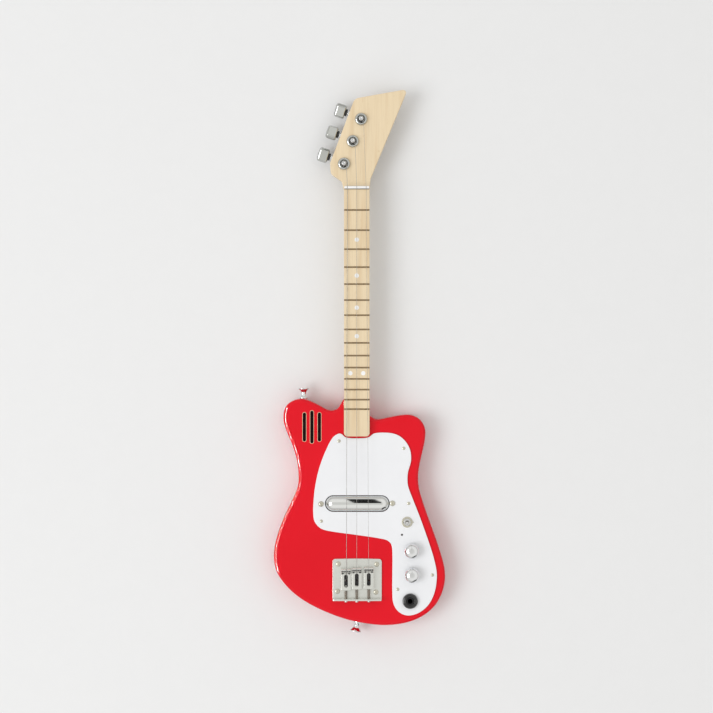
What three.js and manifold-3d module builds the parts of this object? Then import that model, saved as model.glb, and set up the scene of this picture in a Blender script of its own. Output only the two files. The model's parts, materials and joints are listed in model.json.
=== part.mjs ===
// A small three-string electric guitar, lying on its back, as an assembly of separate pieces.
// Millimetres: +X to the treble side, +Y to the headstock, +Z from the back to the strings.
// The origin is on the flat back, under the middle of the neck, at the theoretical saddle line.
import * as THREE from "three";
import Module from "manifold-3d";
import { mergeVertices } from "three/addons/utils/BufferGeometryUtils.js";

const wasm = await Module();
wasm.setup();

// ------------------------------------------------------------------ driving dimensions
const GAP = 0.3; // between pieces that touch
const RUNNING = 0.1; // round a shaft that turns

const SCALE_LENGTH = 520;
const FRET_COUNT = 15;
const NECK_WIDTH = 35;
const HEEL_END = 181.3;
const NUT_WIDTH = 3.5;
const STRING_RADII = [0.3, 0.23, 0.18];
const STRING_X_AT_NUT = [-12.9, 0, 12.9];
const STRING_X_AT_BRIDGE = [-14.1, 0, 16.2];

const BODY_THICKNESS = 38;
const BODY_ROUNDOVER = 5;
const POCKET_FLOOR = 22;
const NECK_TOP = 40.7;
const BOARD_TOP = 47;
const HEADSTOCK_BACK = 25;
const HEADSTOCK_FACE = 39;
const STRING_AT_NUT = 49.5;
const STRING_AT_SADDLE = 51.5;
const STRING_AT_POST = 46;
const STRING_HOLE_Y = -16;

const GUARD_BOTTOM = BODY_THICKNESS + GAP;
const GUARD_TOP = 40.5;
const ON_GUARD = GUARD_TOP + GAP;

const TUNER_POSTS = [
  [-17.6, 554.8],
  [-5.6, 585.7],
  [5.9, 616],
];
const TUNER_ANGLE = 162; // of a button shaft, in degrees from +X
const TUNER_BUTTON_TURNS = [12, -16, 20]; // of each button about its shaft, in degrees
const GEAR_TEETH = 14;
const WORM_PITCH = 1.48;
const GEAR_TO_WORM = 4.8;
const WORM_HEIGHT = 19;

const SADDLES = [
  { x: -14.8, front: 0.4 },
  { x: 0, front: 1.9 },
  { x: 16.4, front: 2.5 },
];
const SADDLE_LENGTH = 30.4;
const SADDLE_WIDTH = 13.7;
const SADDLE_SCREW_HEIGHT = 43.2;
const BRIDGE_BACK = -43.4;

const PICKUP = { x: 0.7, y: 89.1, length: 88, width: 22 };
const PICKUP_EARS = { length: 108, width: 10 };
const PICKUP_SCREWS = { bass: [-49, 88.5], treble: [48.7, 89.4] };
const GUARD_SCREWS = [
  [-24.4, 174.8],
  [64.4, 164.8],
  [71.1, 89.3],
  [-48.6, 65],
  [103.6, -8.8],
  [55.9, -28.4],
];
const TOGGLE = [69, 63.6];
const LED = [61.9, 46.3];
const VOLUME = [75.1, 24.7];
const TONE = [75.5, -8.2];
const JACK = [73.1, -44.5];
const SPEAKER = [-61.6, 193.9];
const BATTERY = [-60, 25];
const BRIDGE_SCREWS = [
  [-25.3, 6.2],
  [27.3, 5.9],
  [-26.6, -31.1],
  [26.2, -32.2],
];
const NECK_SCREWS = [
  [-9.5, 188],
  [9.5, 188],
  [-9.5, 204],
  [9.5, 204],
];

const BODY_OUTLINE = [
  [-99.7, 217], [-94.8, 225.3], [-85.8, 230.8], [-74.2, 232.5], [-62.6, 229], [-50.5, 223],
  [-41.4, 218], [-33.3, 216.6], [-26.3, 219.5], [-21.2, 227], [-15.2, 235.5], [-5.1, 237.5],
  [5, 231.5], [11.1, 220.5], [17.6, 210], [27.2, 204.4], [43.3, 207], [59.5, 210],
  [70.6, 210.8], [80.6, 208.4], [88.7, 202.2], [93.8, 192], [94.4, 182], [92.2, 167.5],
  [87.9, 149], [84.7, 130], [85.3, 112], [90.2, 93.2], [98.8, 68.5], [107.7, 43.7],
  [115.9, 19], [120.7, 0], [121.4, -16], [117.5, -33.5], [108.9, -50], [95.3, -63],
  [79.6, -71.5], [60.5, -76.8], [36.3, -78.7], [10.1, -76], [-15.2, -70.4], [-40.4, -61.4],
  [-65.1, -49.5], [-85.8, -35.5], [-100.9, -20], [-110.5, -4.5], [-114, 13], [-112.3, 33],
  [-105.9, 55], [-96.8, 77], [-87.3, 96.5], [-81.3, 112], [-80.2, 128], [-82.3, 147.5],
  [-88.3, 168], [-95.8, 186], [-100.7, 202],
];
const GUARD_OUTLINE = [
  [-24.5, 185], [-32.5, 180], [-41, 165], [-50.5, 141], [-56.5, 116], [-59.3, 92],
  [-59, 68], [-55.5, 60.6], [-48, 54.2], [-34, 50.7], [-12, 47.6], [12, 44.3],
  [34, 40.7], [42, 38.4], [47, 33.5], [48.6, 25], [48.8, 0], [48.9, -40],
  [50.5, -49], [56, -58], [65.5, -63.7], [75.5, -64], [88, -59], [99, -48.7],
  [106.8, -32], [109.8, -9], [107, 9], [102.3, 25.5], [94, 50], [85, 74.7],
  [75.4, 99], [70, 115], [70.2, 132], [74.3, 147], [73.3, 162], [67, 174],
  [57.5, 182.2], [47, 185.6], [30, 186.2], [22.5, 184.6], [17, 180.4], [11, 179],
  [-11, 179], [-16.5, 180.6], [-20.3, 184],
];
const HEADSTOCK_CORNERS = [
  [-17.5, 512, 0],
  [17.5, 512, 0],
  [19, 534.5, 12],
  [70.1, 657.6, 4],
  [-3, 644.5, 10],
  [-36.8, 555.5, 8],
  [-35.6, 541, 8],
  [-20.6, 531, 6],
];
const CONTROL_CAVITY = [
  [62, -54, 8],
  [86, -55, 12],
  [97, -30, 20],
  [97, 4, 20],
  [82, 60, 10],
  [76, 76, 6],
  [57, 76, 6],
  [58, 20, 12],
];
const CONTROL_CAVITY_FLOOR = 5;
const PICKUP_ROUT_FLOOR = 18;
const SPEAKER_WALL = 31;

// ------------------------------------------------------------------ materials
function material(color, roughness, metalness) {
  return new THREE.MeshStandardMaterial({ color, roughness, metalness });
}
const RED_GLOSS = material(0xe0081c, 0.12, 0);
const MAPLE = material(0xecd6ae, 0.45, 0);
const WHITE_PLASTIC = material(0xf4f5f8, 0.25, 0);
const BLACK_PLASTIC = material(0x101012, 0.35, 0);
const CHROME = material(0xd8dadd, 0.08, 1);
const STEEL = material(0xa9a9a4, 0.3, 1);
const NICKEL = material(0xb9b4a8, 0.25, 1);
const PAPER = material(0x26262a, 0.9, 0);
const BOARD_GREEN = material(0x1f6b3c, 0.5, 0);
const DARK_LENS = material(0x5a1010, 0.2, 0);
const BATTERY_CASE = material(0x30343c, 0.4, 0.3);

// ------------------------------------------------------------------ joining and cutting
function solid(geometry) {
  const bare = geometry.index ? geometry.toNonIndexed() : geometry.clone();
  bare.deleteAttribute("normal");
  bare.deleteAttribute("uv");
  const merged = mergeVertices(bare, 1e-4);
  return new wasm.Manifold(
    new wasm.Mesh({
      numProp: 3,
      vertProperties: merged.attributes.position.array,
      triVerts: new Uint32Array(merged.index.array),
    }),
  );
}

function geometryOf(shape) {
  const data = shape.getMesh();
  const geometry = new THREE.BufferGeometry();
  const points = new THREE.BufferAttribute(new Float32Array(data.vertProperties), 3);
  geometry.setAttribute("position", points);
  geometry.setIndex(new THREE.BufferAttribute(new Uint32Array(data.triVerts), 1));
  geometry.computeVertexNormals();
  return geometry;
}

function join(first, ...others) {
  return geometryOf(others.reduce((sum, other) => sum.add(solid(other)), solid(first)));
}

function cut(blank, ...tools) {
  return geometryOf(tools.reduce((rest, tool) => rest.subtract(solid(tool)), solid(blank)));
}

function common(first, second) {
  return geometryOf(solid(first).intersect(solid(second)));
}

// ------------------------------------------------------------------ basic shapes
function smoothShape(points, divisions) {
  const knots = points.map(([x, y]) => new THREE.Vector3(x, y, 0));
  const curve = new THREE.CatmullRomCurve3(knots, true, "centripetal");
  const around = curve.getPoints(points.length * divisions).slice(0, -1);
  return new THREE.Shape(around.map((p) => new THREE.Vector2(p.x, p.y)));
}

// A polygon whose corners [x, y, radius] are rounded.
function roundedShape(corners) {
  const shape = new THREE.Shape();
  corners.forEach(([x, y, radius], i) => {
    const corner = new THREE.Vector2(x, y);
    const [beforeX, beforeY] = corners[(i + corners.length - 1) % corners.length];
    const [afterX, afterY] = corners[(i + 1) % corners.length];
    const back = new THREE.Vector2(beforeX, beforeY).sub(corner).normalize();
    const ahead = new THREE.Vector2(afterX, afterY).sub(corner).normalize();
    const reach = radius / Math.tan(Math.acos(back.dot(ahead)) / 2);
    const start = corner.clone().addScaledVector(back, reach);
    const end = corner.clone().addScaledVector(ahead, reach);
    if (i === 0) shape.moveTo(start.x, start.y);
    else shape.lineTo(start.x, start.y);
    if (radius > 0) shape.quadraticCurveTo(x, y, end.x, end.y);
  });
  shape.closePath();
  return shape;
}

function roundedRectangle(length, width, radius, [x, y] = [0, 0]) {
  return roundedShape([
    [x - length / 2, y - width / 2, radius],
    [x + length / 2, y - width / 2, radius],
    [x + length / 2, y + width / 2, radius],
    [x - length / 2, y + width / 2, radius],
  ]);
}

function stadium(length, width, [x, y] = [0, 0]) {
  const shape = new THREE.Shape();
  const straight = (length - width) / 2;
  shape.absarc(x + straight, y, width / 2, -Math.PI / 2, Math.PI / 2, false);
  shape.absarc(x - straight, y, width / 2, Math.PI / 2, (3 * Math.PI) / 2, false);
  shape.closePath();
  return shape;
}

function prism(shape, bottom, top, curveSegments = 4) {
  const options = { depth: top - bottom, bevelEnabled: false, curveSegments };
  return new THREE.ExtrudeGeometry(shape, options).translate(0, 0, bottom);
}

// A prism whose top and bottom edges are rounded over.
function softPrism(shape, bottom, top, round, bevelSegments = 2, curveSegments = 4) {
  const options = {
    depth: top - bottom - 2 * round,
    bevelThickness: round,
    bevelSize: round,
    bevelOffset: -round,
    bevelSegments,
    curveSegments,
  };
  return new THREE.ExtrudeGeometry(shape, options).translate(0, 0, bottom + round);
}

// A section drawn in X and Z, carried along Y.
function alongY(shape, from, to) {
  const options = { depth: to - from, bevelEnabled: false, curveSegments: 8 };
  return new THREE.ExtrudeGeometry(shape, options).rotateX(Math.PI / 2).translate(0, to, 0);
}

// A section drawn in Y and Z, carried along X.
function alongX(shape, from, to, round = 0) {
  const options = {
    depth: to - from - 2 * round,
    bevelEnabled: round > 0,
    bevelThickness: round,
    bevelSize: round,
    bevelOffset: -round,
    bevelSegments: 1,
    curveSegments: 2,
  };
  const section = new THREE.ExtrudeGeometry(shape, options);
  return section.rotateX(Math.PI / 2).rotateZ(Math.PI / 2).translate(from + round, 0, 0);
}

function block([x0, x1], [y0, y1], [z0, z1]) {
  const geometry = new THREE.BoxGeometry(x1 - x0, y1 - y0, z1 - z0);
  return geometry.translate((x0 + x1) / 2, (y0 + y1) / 2, (z0 + z1) / 2);
}

function disc([x, y], radius, bottom, top, sides = 16) {
  const geometry = new THREE.CylinderGeometry(radius, radius, top - bottom, sides);
  return geometry.rotateX(Math.PI / 2).translate(x, y, (bottom + top) / 2);
}

// A profile of [radius, height] points turned about Z.
function turned(profile, sides = 16) {
  const points = profile.map(([radius, height]) => new THREE.Vector2(radius, height));
  return new THREE.LatheGeometry(points, sides).rotateX(Math.PI / 2);
}

function rod(from, to, radius, sides = 12) {
  const start = new THREE.Vector3(...from);
  const along = new THREE.Vector3(...to).sub(start);
  const geometry = new THREE.CylinderGeometry(radius, radius, along.length(), sides);
  const turn = new THREE.Quaternion();
  turn.setFromUnitVectors(new THREE.Vector3(0, 1, 0), along.clone().normalize());
  const middle = start.addScaledVector(along, 0.5);
  return geometry.applyQuaternion(turn).translate(middle.x, middle.y, middle.z);
}

// The corner radius of a polygonal bore whose flats clear a shaft.
function boreRadius(shaft, clearance, sides = 16) {
  return (shaft + clearance) / Math.cos(Math.PI / sides);
}

function fretY(number) {
  return Math.round(SCALE_LENGTH * 2 ** (-number / 12) * 100) / 100;
}

// ------------------------------------------------------------------ body
function neckPlan(clearance) {
  const side = NECK_WIDTH / 2 + clearance;
  return roundedShape([
    [-side, HEEL_END - clearance, 5],
    [side, HEEL_END - clearance, 5],
    [side, 262, 0],
    [-side, 262, 0],
  ]);
}

function makeBody() {
  const blank = softPrism(
    smoothShape(BODY_OUTLINE, 2), 0, BODY_THICKNESS, BODY_ROUNDOVER);
  const over = BODY_THICKNESS + 1;
  const [speakerX, speakerY] = SPEAKER;
  const [batteryX, batteryY] = BATTERY;
  const slots = [-10.3, 0, 10.3].map((x) => {
    const length = x === 0 ? 45 : 39.8;
    const slot = prism(stadium(length, 4.7), SPEAKER_WALL - 1, over, 4);
    return slot.rotateZ(Math.PI / 2).translate(speakerX + x, speakerY, 0);
  });
  const pickupRout = roundedRectangle(PICKUP.length + 6, PICKUP.width + 5, 10, [PICKUP.x, PICKUP.y]);
  const stringHoles = STRING_X_AT_BRIDGE.flatMap((x) => [
    disc([x, STRING_HOLE_Y], 1.7, 5, over, 8),
    disc([x, STRING_HOLE_Y], 3.4, -1, 8, 12),
  ]);
  const screwHoles = NECK_SCREWS.flatMap((at) => [
    disc(at, 2.7, 1, POCKET_FLOOR + 1, 8),
    disc(at, 5.2, -1, 3.6, 12),
  ]);
  return cut(
    blank,
    prism(neckPlan(GAP), POCKET_FLOOR, over),
    prism(roundedShape(CONTROL_CAVITY), CONTROL_CAVITY_FLOOR, over),
    prism(pickupRout, PICKUP_ROUT_FLOOR, over),
    prism(roundedRectangle(PICKUP_EARS.length + 4, PICKUP_EARS.width + 3, 4, [0, PICKUP.y]),
      PICKUP_ROUT_FLOOR, over),
    block([50, 62], [68, 86], [PICKUP_ROUT_FLOOR + 2, over]),
    disc(SPEAKER, 23.6, -1, SPEAKER_WALL, 24),
    disc(SPEAKER, 25.6, -1, 3.2, 24),
    prism(roundedRectangle(66.6, 44.6, 4, BATTERY), -1, 2.7),
    prism(roundedRectangle(57.6, 35.6, 2, BATTERY), 2, 23.7),
    rod([batteryX, batteryY + 10, 21], [-48, PICKUP.y, 21], 3, 10),
    rod([speakerX, speakerY, 23], [-46, PICKUP.y, 23], 3, 10),
    ...slots,
    ...stringHoles,
    ...screwHoles,
  );
}

// ------------------------------------------------------------------ neck
function makeNeck() {
  const side = NECK_WIDTH / 2;
  const heelSide = new THREE.Shape([
    new THREE.Vector2(HEEL_END - 1, POCKET_FLOOR + GAP),
    new THREE.Vector2(240, POCKET_FLOOR + GAP),
    new THREE.Vector2(256, 31),
    new THREE.Vector2(256, NECK_TOP),
    new THREE.Vector2(HEEL_END - 1, NECK_TOP),
  ]);
  const heel = common(prism(neckPlan(0), 0, 60), alongX(heelSide, -side, side));
  const section = new THREE.Shape();
  section.moveTo(side, NECK_TOP);
  section.lineTo(-side, NECK_TOP);
  section.lineTo(-side, 38);
  section.absellipse(0, 38, side, 13, Math.PI, 2 * Math.PI, false);
  section.closePath();
  const throat = new THREE.Shape([
    new THREE.Vector2(514, HEADSTOCK_BACK + 1),
    new THREE.Vector2(536, HEADSTOCK_BACK + 1),
    new THREE.Vector2(536, HEADSTOCK_FACE - 1),
    new THREE.Vector2(530, HEADSTOCK_FACE + 0.1),
    new THREE.Vector2(524, NECK_TOP),
    new THREE.Vector2(514, NECK_TOP),
  ]);
  const head = prism(roundedShape(HEADSTOCK_CORNERS), HEADSTOCK_BACK, HEADSTOCK_FACE);
  const postHoles = TUNER_POSTS.map((at) => disc(at, 5.1, 20, 45, 16));
  const screwHoles = NECK_SCREWS.map((at) => disc(at, 2.7, 20, 37, 8));
  return cut(
    join(heel, alongY(section, 250, 520), alongX(throat, -side, side), head),
    ...postHoles,
    ...screwHoles,
  );
}

function makeFretboard() {
  const side = NECK_WIDTH / 2;
  const plan = roundedShape([
    [-side, HEEL_END, 5],
    [side, HEEL_END, 5],
    [side, SCALE_LENGTH - GAP, 0],
    [-side, SCALE_LENGTH - GAP, 0],
  ]);
  const slots = [];
  for (let fret = 1; fret <= FRET_COUNT; fret += 1) {
    const y = fretY(fret);
    slots.push(block([-side - 1, side + 1], [y - 0.5, y + 0.5], [43.5, BOARD_TOP + 1]));
  }
  const tunnel = block([-0.8, 0.8], [fretY(FRET_COUNT), fretY(1)], [43.7, 44.7]);
  return cut(prism(plan, NECK_TOP + GAP, BOARD_TOP), tunnel, ...slots);
}

// Fifteen frets whose tangs stand on one thin rib, hidden in the fingerboard.
function makeFrets() {
  const crown = new THREE.Shape([
    new THREE.Vector2(-1.1, BOARD_TOP + 0.1),
    new THREE.Vector2(1.1, BOARD_TOP + 0.1),
    new THREE.Vector2(0.6, BOARD_TOP + 1),
    new THREE.Vector2(-0.6, BOARD_TOP + 1),
  ]);
  const half = NECK_WIDTH / 2 - 0.2;
  const pieces = [block([-0.5, 0.5], [fretY(FRET_COUNT) - 0.1, fretY(1) + 0.1], [44, 44.4])];
  for (let fret = 1; fret <= FRET_COUNT; fret += 1) {
    const y = fretY(fret);
    pieces.push(alongX(crown, -half, half).translate(0, y, 0));
    pieces.push(block([1 - half, half - 1], [y - 0.25, y + 0.25], [43.8, BOARD_TOP + 0.4]));
  }
  return join(...pieces);
}

function makeNut() {
  const blank = block(
    [-17, 17], [SCALE_LENGTH, SCALE_LENGTH + NUT_WIDTH], [NECK_TOP + GAP, STRING_AT_NUT + 0.3]);
  const slots = STRING_X_AT_NUT.map((x) =>
    block([x - 0.6, x + 0.6], [510, 530], [STRING_AT_NUT - 0.6, STRING_AT_NUT + 1]));
  return cut(blank, ...slots);
}

function makeNeckScrew() {
  return turned([[0, 0.6], [4.2, 0.6], [4.2, 2], [3, 3.2], [2.2, 3.2], [2.2, 35], [0, 36.5]], 12);
}

// ------------------------------------------------------------------ pickguard and its fittings
function makePickguard() {
  const sheet = prism(smoothShape(GUARD_OUTLINE, 2), GUARD_BOTTOM, GUARD_TOP);
  const low = GUARD_BOTTOM - 1;
  const high = GUARD_TOP + 1;
  const window = stadium(PICKUP.length + 0.8, PICKUP.width + 0.8, [PICKUP.x, PICKUP.y]);
  return cut(
    sheet,
    prism(window, low, high, 10),
    disc(TOGGLE, 3.3, low, high),
    disc(LED, 1.5, low, high, 12),
    disc(VOLUME, 3.8, low, high),
    disc(TONE, 3.8, low, high),
    disc(JACK, 5.3, low, high),
    ...Object.values(PICKUP_SCREWS).map((at) => disc(at, 1.9, low, high, 8)),
    ...GUARD_SCREWS.map((at) => disc(at, 1.5, low, high, 8)),
  );
}

// The upper half of a tube with round ends.
function makePickupCover() {
  const at = [PICKUP.x, PICKUP.y];
  const tube = softPrism(stadium(PICKUP.length, PICKUP.width, at), 20, 46.5, 10, 6, 6);
  const inside = stadium(PICKUP.length - 2.8, PICKUP.width - 2.8, at);
  const hollow = softPrism(inside, 18, 45.1, 8.6, 4, 6);
  const lower = block([-60, 60], [60, 120], [10, 33.5]);
  return cut(tube, lower, hollow);
}

function makePickupBase() {
  const ears = roundedRectangle(PICKUP_EARS.length, PICKUP_EARS.width, 4, [0, PICKUP.y]);
  const plate = stadium(PICKUP.length - 2, PICKUP.width - 2, [PICKUP.x, PICKUP.y]);
  const coil = stadium(PICKUP.length - 6, PICKUP.width - 6, [PICKUP.x, PICKUP.y]);
  const holes = Object.values(PICKUP_SCREWS).map((at) =>
    disc(at, boreRadius(1.4, RUNNING, 12), 20, 40, 12));
  return cut(
    join(prism(ears, 30, 32), prism(plate, 30, 33.2), prism(coil, 32, 40.6)),
    ...holes,
  );
}

function makePickupScrew() {
  const head = [[1.4, ON_GUARD], [3.9, ON_GUARD], [3.9, ON_GUARD + 1.2], [2.6, ON_GUARD + 2.2]];
  const post = turned([[0, 19.5], [1.4, 20.2], ...head, [0, ON_GUARD + 2.5]], 16);
  const slot = block([-5, 5], [-0.5, 0.5], [ON_GUARD + 1.4, ON_GUARD + 4]);
  return cut(post, slot);
}

function makeToggleBody() {
  return cut(
    join(block([-4, 4], [-6.5, 6.5], [25, 37.7]), disc([0, 0], 2.9, 37, 44)),
    disc([0, 0], 2.1, 40, 45),
  );
}

function makeToggleNut() {
  return cut(disc([0, 0], 5.5, ON_GUARD, 43.2, 6), disc([0, 0], 3.2, 40, 44));
}

function makeToggleLever() {
  const ball = [[0, 40.5], [1.3, 41.2], [1.5, 42], [1.3, 42.8], [0.9, 43.4]];
  const bat = [[1, 45], [1.7, 51.5], [1.5, 52.6], [0, 53.3]];
  return turned([...ball, ...bat], 16);
}

function makeLed() {
  const base = [[0, 32], [2.5, 32], [2.5, 37.6], [1.2, 37.6]];
  return turned([...base, [1.2, 40.9], [0.9, 41.3], [0, 41.5]], 16);
}

function makePot() {
  const bushing = 3.4;
  const bore = boreRadius(2.2, RUNNING);
  return join(
    turned([
      [0, 27], [8, 27], [8, 36.5], [bushing, 36.5], [bushing, 41], [bore, 41], [bore, 29.5], [0, 29.5],
    ]),
    block([-9.5, -6], [-5, 5], [28, 29.5]),
  );
}

function makeControlShaft() {
  return turned([[0, 30], [2.2, 30], [2.2, 51], [1.8, 51.5], [0, 51.5]]);
}

function makeKnob() {
  const bore = 2.6;
  const inside = [[0, 52], [bore, 52], [bore, 46], [6.5, 46], [6.5, 41.3]];
  const dome = [[10.25, 41.3], [10.25, 50.5], [9.6, 53.6], [7.6, 56], [4.2, 57.2], [0, 57.5]];
  return turned([...inside, ...dome], 20);
}

function makeJackSocket() {
  const bore = 3.5;
  const threaded = 5;
  const barrel = 7.5;
  return turned([
    [bore, 14], [barrel, 14], [barrel, 37.7], [threaded, 37.7], [threaded, 44.6],
    [4.4, 45.1], [bore, 45.1], [bore, 14],
  ]);
}

function makeJackNut() {
  const bore = 5.3;
  return turned([
    [bore, ON_GUARD], [10.5, ON_GUARD], [10.5, 44], [9.6, 45.4], [bore + 0.6, 45.4],
    [bore, 44.8], [bore, ON_GUARD],
  ], 24);
}

function makeAmpBoard() {
  const [left, right, low, high] = [64, 84, -30, 42];
  const legs = [[left + 3, low + 3], [right - 3, low + 3], [left + 3, high - 3], [right - 3, high - 3]];
  return join(
    block([left, right], [low, high], [8, 9.6]),
    block([68, 80], [2, 12], [9, 12.5]),
    block([67, 77], [-20, -13], [9, 13]),
    disc([80, -6], 3.2, 9, 19),
    disc([70, 24], 3.2, 9, 19),
    disc([79, 28], 2.6, 9, 16),
    ...legs.map((at) => disc(at, 1.5, CONTROL_CAVITY_FLOOR + GAP, 8.5, 12)),
  );
}

// ------------------------------------------------------------------ speaker and battery
function makeSpeakerFrame() {
  const magnet = [[0, 7], [11.5, 7], [11.5, 16]];
  const rim = [[20.5, 27.3], [22.6, 27.3], [22.6, SPEAKER_WALL - GAP], [19.5, SPEAKER_WALL - GAP]];
  return turned([...magnet, ...rim, [19.5, 28], [9.5, 17.5], [0, 17.5]], 24);
}

function makeSpeakerCone() {
  const underside = [[0, 20.2], [5, 20.2], [18.9, 28.5], [19.1, 30.2]];
  return turned([...underside, [17.8, 30.2], [5.5, 22], [4, 23.3], [0, 24.4]], 24);
}

function makeSpeakerCover() {
  const notch = disc([0, -25.3], 3, 0, 1.6, 12);
  return cut(disc([0, 0], 25.3, 0.4, 2.9, 24), notch);
}

const BATTERY_BAY = [53, 31];
const DOOR_TOP = 2.2;
const DOOR_HINGE_RADIUS = 0.9;

function makeBatteryBox() {
  const [length, width] = BATTERY_BAY;
  return cut(
    join(
      prism(roundedRectangle(66, 44, 4), 0.4, 2.4),
      prism(roundedRectangle(length + 4, width + 4, 2), 2, 23.4),
    ),
    block([-length / 2, length / 2], [-width / 2, width / 2], [-1, 21.8]),
  );
}

// The door's hinged edge is round about the hinge line.
function makeBatteryDoor() {
  const [length, width] = BATTERY_BAY;
  const hingeX = DOOR_HINGE_RADIUS + GAP - length / 2;
  const side = width / 2 - GAP;
  const middle = DOOR_TOP - DOOR_HINGE_RADIUS;
  const bottom = middle - DOOR_HINGE_RADIUS;
  return cut(
    join(
      block([hingeX, length / 2 - GAP], [-side, side], [bottom, DOOR_TOP]),
      rod([hingeX, -side, middle], [hingeX, side, middle], DOOR_HINGE_RADIUS, 16),
    ),
    disc([length / 2, 0], 4, 0, 1.2, 16),
  );
}

function makeBattery() {
  return join(
    block([-24, 22.2], [-13.2, 13.2], [3, 20.5]),
    rod([22, -6.4, 11.7], [24.4, -6.4, 11.7], 2.9, 12),
    rod([22, 6.4, 11.7], [24.4, 6.4, 11.7], 3.9, 6),
  );
}

// ------------------------------------------------------------------ bridge
function makeBridgePlate() {
  const plan = new THREE.Shape();
  plan.moveTo(-33.3, BRIDGE_BACK);
  plan.lineTo(34.2, BRIDGE_BACK);
  plan.lineTo(34.2, 9.5);
  plan.quadraticCurveTo(34.2, 12.8, 30.5, 13.2);
  plan.quadraticCurveTo(0.5, 14.2, -29.6, 13.2);
  plan.quadraticCurveTo(-33.3, 12.8, -33.3, 9.5);
  plan.closePath();
  const flange = roundedShape([
    [-33.3, BODY_THICKNESS + GAP, 0],
    [34.2, BODY_THICKNESS + GAP, 0],
    [34.2, 49, 3],
    [-33.3, 49, 3],
  ]);
  const screwBores = SADDLES.map(({ x }) =>
    rod([x, -50, SADDLE_SCREW_HEIGHT], [x, -38, SADDLE_SCREW_HEIGHT], boreRadius(1.4, RUNNING, 12)));
  return cut(
    join(
      prism(plan, BODY_THICKNESS + GAP, 40.3),
      alongY(flange, BRIDGE_BACK, BRIDGE_BACK + 2.4),
    ),
    ...screwBores,
    ...STRING_X_AT_BRIDGE.map((x) => disc([x, STRING_HOLE_Y], 1.7, 30, 45, 12)),
    ...BRIDGE_SCREWS.map((at) => disc(at, 1.9, 30, 45, 12)),
  );
}

// Drawn with its front edge at Y 0 and its middle at X 0.
function makeSaddle() {
  const low = 40.6;
  const top = 45.5;
  const crown = STRING_AT_SADDLE - 0.7;
  const profile = new THREE.Shape();
  profile.moveTo(-SADDLE_LENGTH, low);
  profile.lineTo(0, low);
  profile.lineTo(0, crown - 2.6);
  profile.quadraticCurveTo(0, crown, -1.2, crown);
  profile.lineTo(-8, top);
  profile.lineTo(1 - SADDLE_LENGTH, top);
  profile.quadraticCurveTo(-SADDLE_LENGTH, top, -SADDLE_LENGTH, top - 1);
  profile.closePath();
  const half = SADDLE_WIDTH / 2;
  const window = prism(stadium(17.7, 5.4), 30, 60, 5).rotateZ(Math.PI / 2).translate(0, -17, 0);
  return cut(
    alongX(profile, -half, half),
    window,
    rod([0, -35, SADDLE_SCREW_HEIGHT], [0, -22, SADDLE_SCREW_HEIGHT], boreRadius(1.4, RUNNING, 12)),
    disc([-4.4, -8.6], 1.2, 30, 60, 10),
    disc([4.4, -8.6], 1.2, 30, 60, 10),
  );
}

// Drawn along -Y with the underside of its head at Y 0.
function makeIntonationScrew() {
  const profile = [[0, -2], [1.8, -2], [2.25, -1.5], [2.25, 0], [1.4, 0], [1.4, 20.5], [0, 21.5]];
  const slot = block([-3, 3], [-0.4, 0.4], [-3, -1]);
  return cut(turned(profile, 12), slot).rotateX(-Math.PI / 2);
}

// ------------------------------------------------------------------ strings and strap buttons
// Equal steps of its parameter fall on its knots, however far apart they are.
class KnottedCurve extends THREE.CatmullRomCurve3 {
  getUtoTmapping(u) {
    return u;
  }
}

const BEND = 2; // length of string that bends on each side of a support

function makeString(index) {
  const radius = STRING_RADII[index];
  const [postX, postY] = TUNER_POSTS[index];
  const x = STRING_X_AT_BRIDGE[index];
  const ballEnd = [x, STRING_HOLE_Y];
  const route = [
    [postX + 3 + radius + GAP, postY, STRING_AT_POST],
    [STRING_X_AT_NUT[index], SCALE_LENGTH + NUT_WIDTH / 2, STRING_AT_NUT],
    [x, -1, STRING_AT_SADDLE],
    [...ballEnd, 40.2],
    [...ballEnd, 5],
  ].map((point) => new THREE.Vector3(...point));
  const knots = [route[0]];
  for (let i = 1; i < route.length - 1; i += 1) {
    const back = route[i - 1].clone().sub(route[i]).setLength(BEND);
    const ahead = route[i + 1].clone().sub(route[i]).setLength(BEND);
    knots.push(back.add(route[i]), route[i], ahead.add(route[i]));
  }
  knots.push(route[route.length - 1]);
  const section = new THREE.Shape();
  section.absarc(0, 0, radius, 0, 2 * Math.PI, false);
  const wire = new THREE.ExtrudeGeometry(section, {
    steps: 2 * (knots.length - 1),
    curveSegments: 3,
    bevelEnabled: false,
    extrudePath: new KnottedCurve(knots, false, "centripetal"),
  });
  return join(wire, disc(ballEnd, 1.8, 3, 6, 10));
}

function makeStrapButton() {
  const trumpet = [[0, 0], [6, 0], [6, 1.2], [4.4, 3], [3.75, 6], [4.4, 9], [6.8, 12], [8, 12.8]];
  const end = [[8, 13.8], [7.4, 14.4], [3.2, 14.4], [3.2, 12.4], [0, 12.4]];
  return turned([...trumpet, ...end]).rotateX(-Math.PI / 2);
}

// ------------------------------------------------------------------ tuners
// Drawn with the string post on the Z axis and the button shaft along +X.
class Helix extends THREE.Curve {
  constructor(radius, pitch, turns) {
    super();
    this.radius = radius;
    this.pitch = pitch;
    this.turns = turns;
  }

  getPoint(t, target = new THREE.Vector3()) {
    const turns = (t - 0.5) * this.turns;
    const angle = turns * 2 * Math.PI;
    return target.set(
      turns * this.pitch, this.radius * Math.cos(angle), this.radius * Math.sin(angle));
  }
}

const SHAFT_RADIUS = 1.8;
const WORM_CORE = 0.9;

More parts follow.
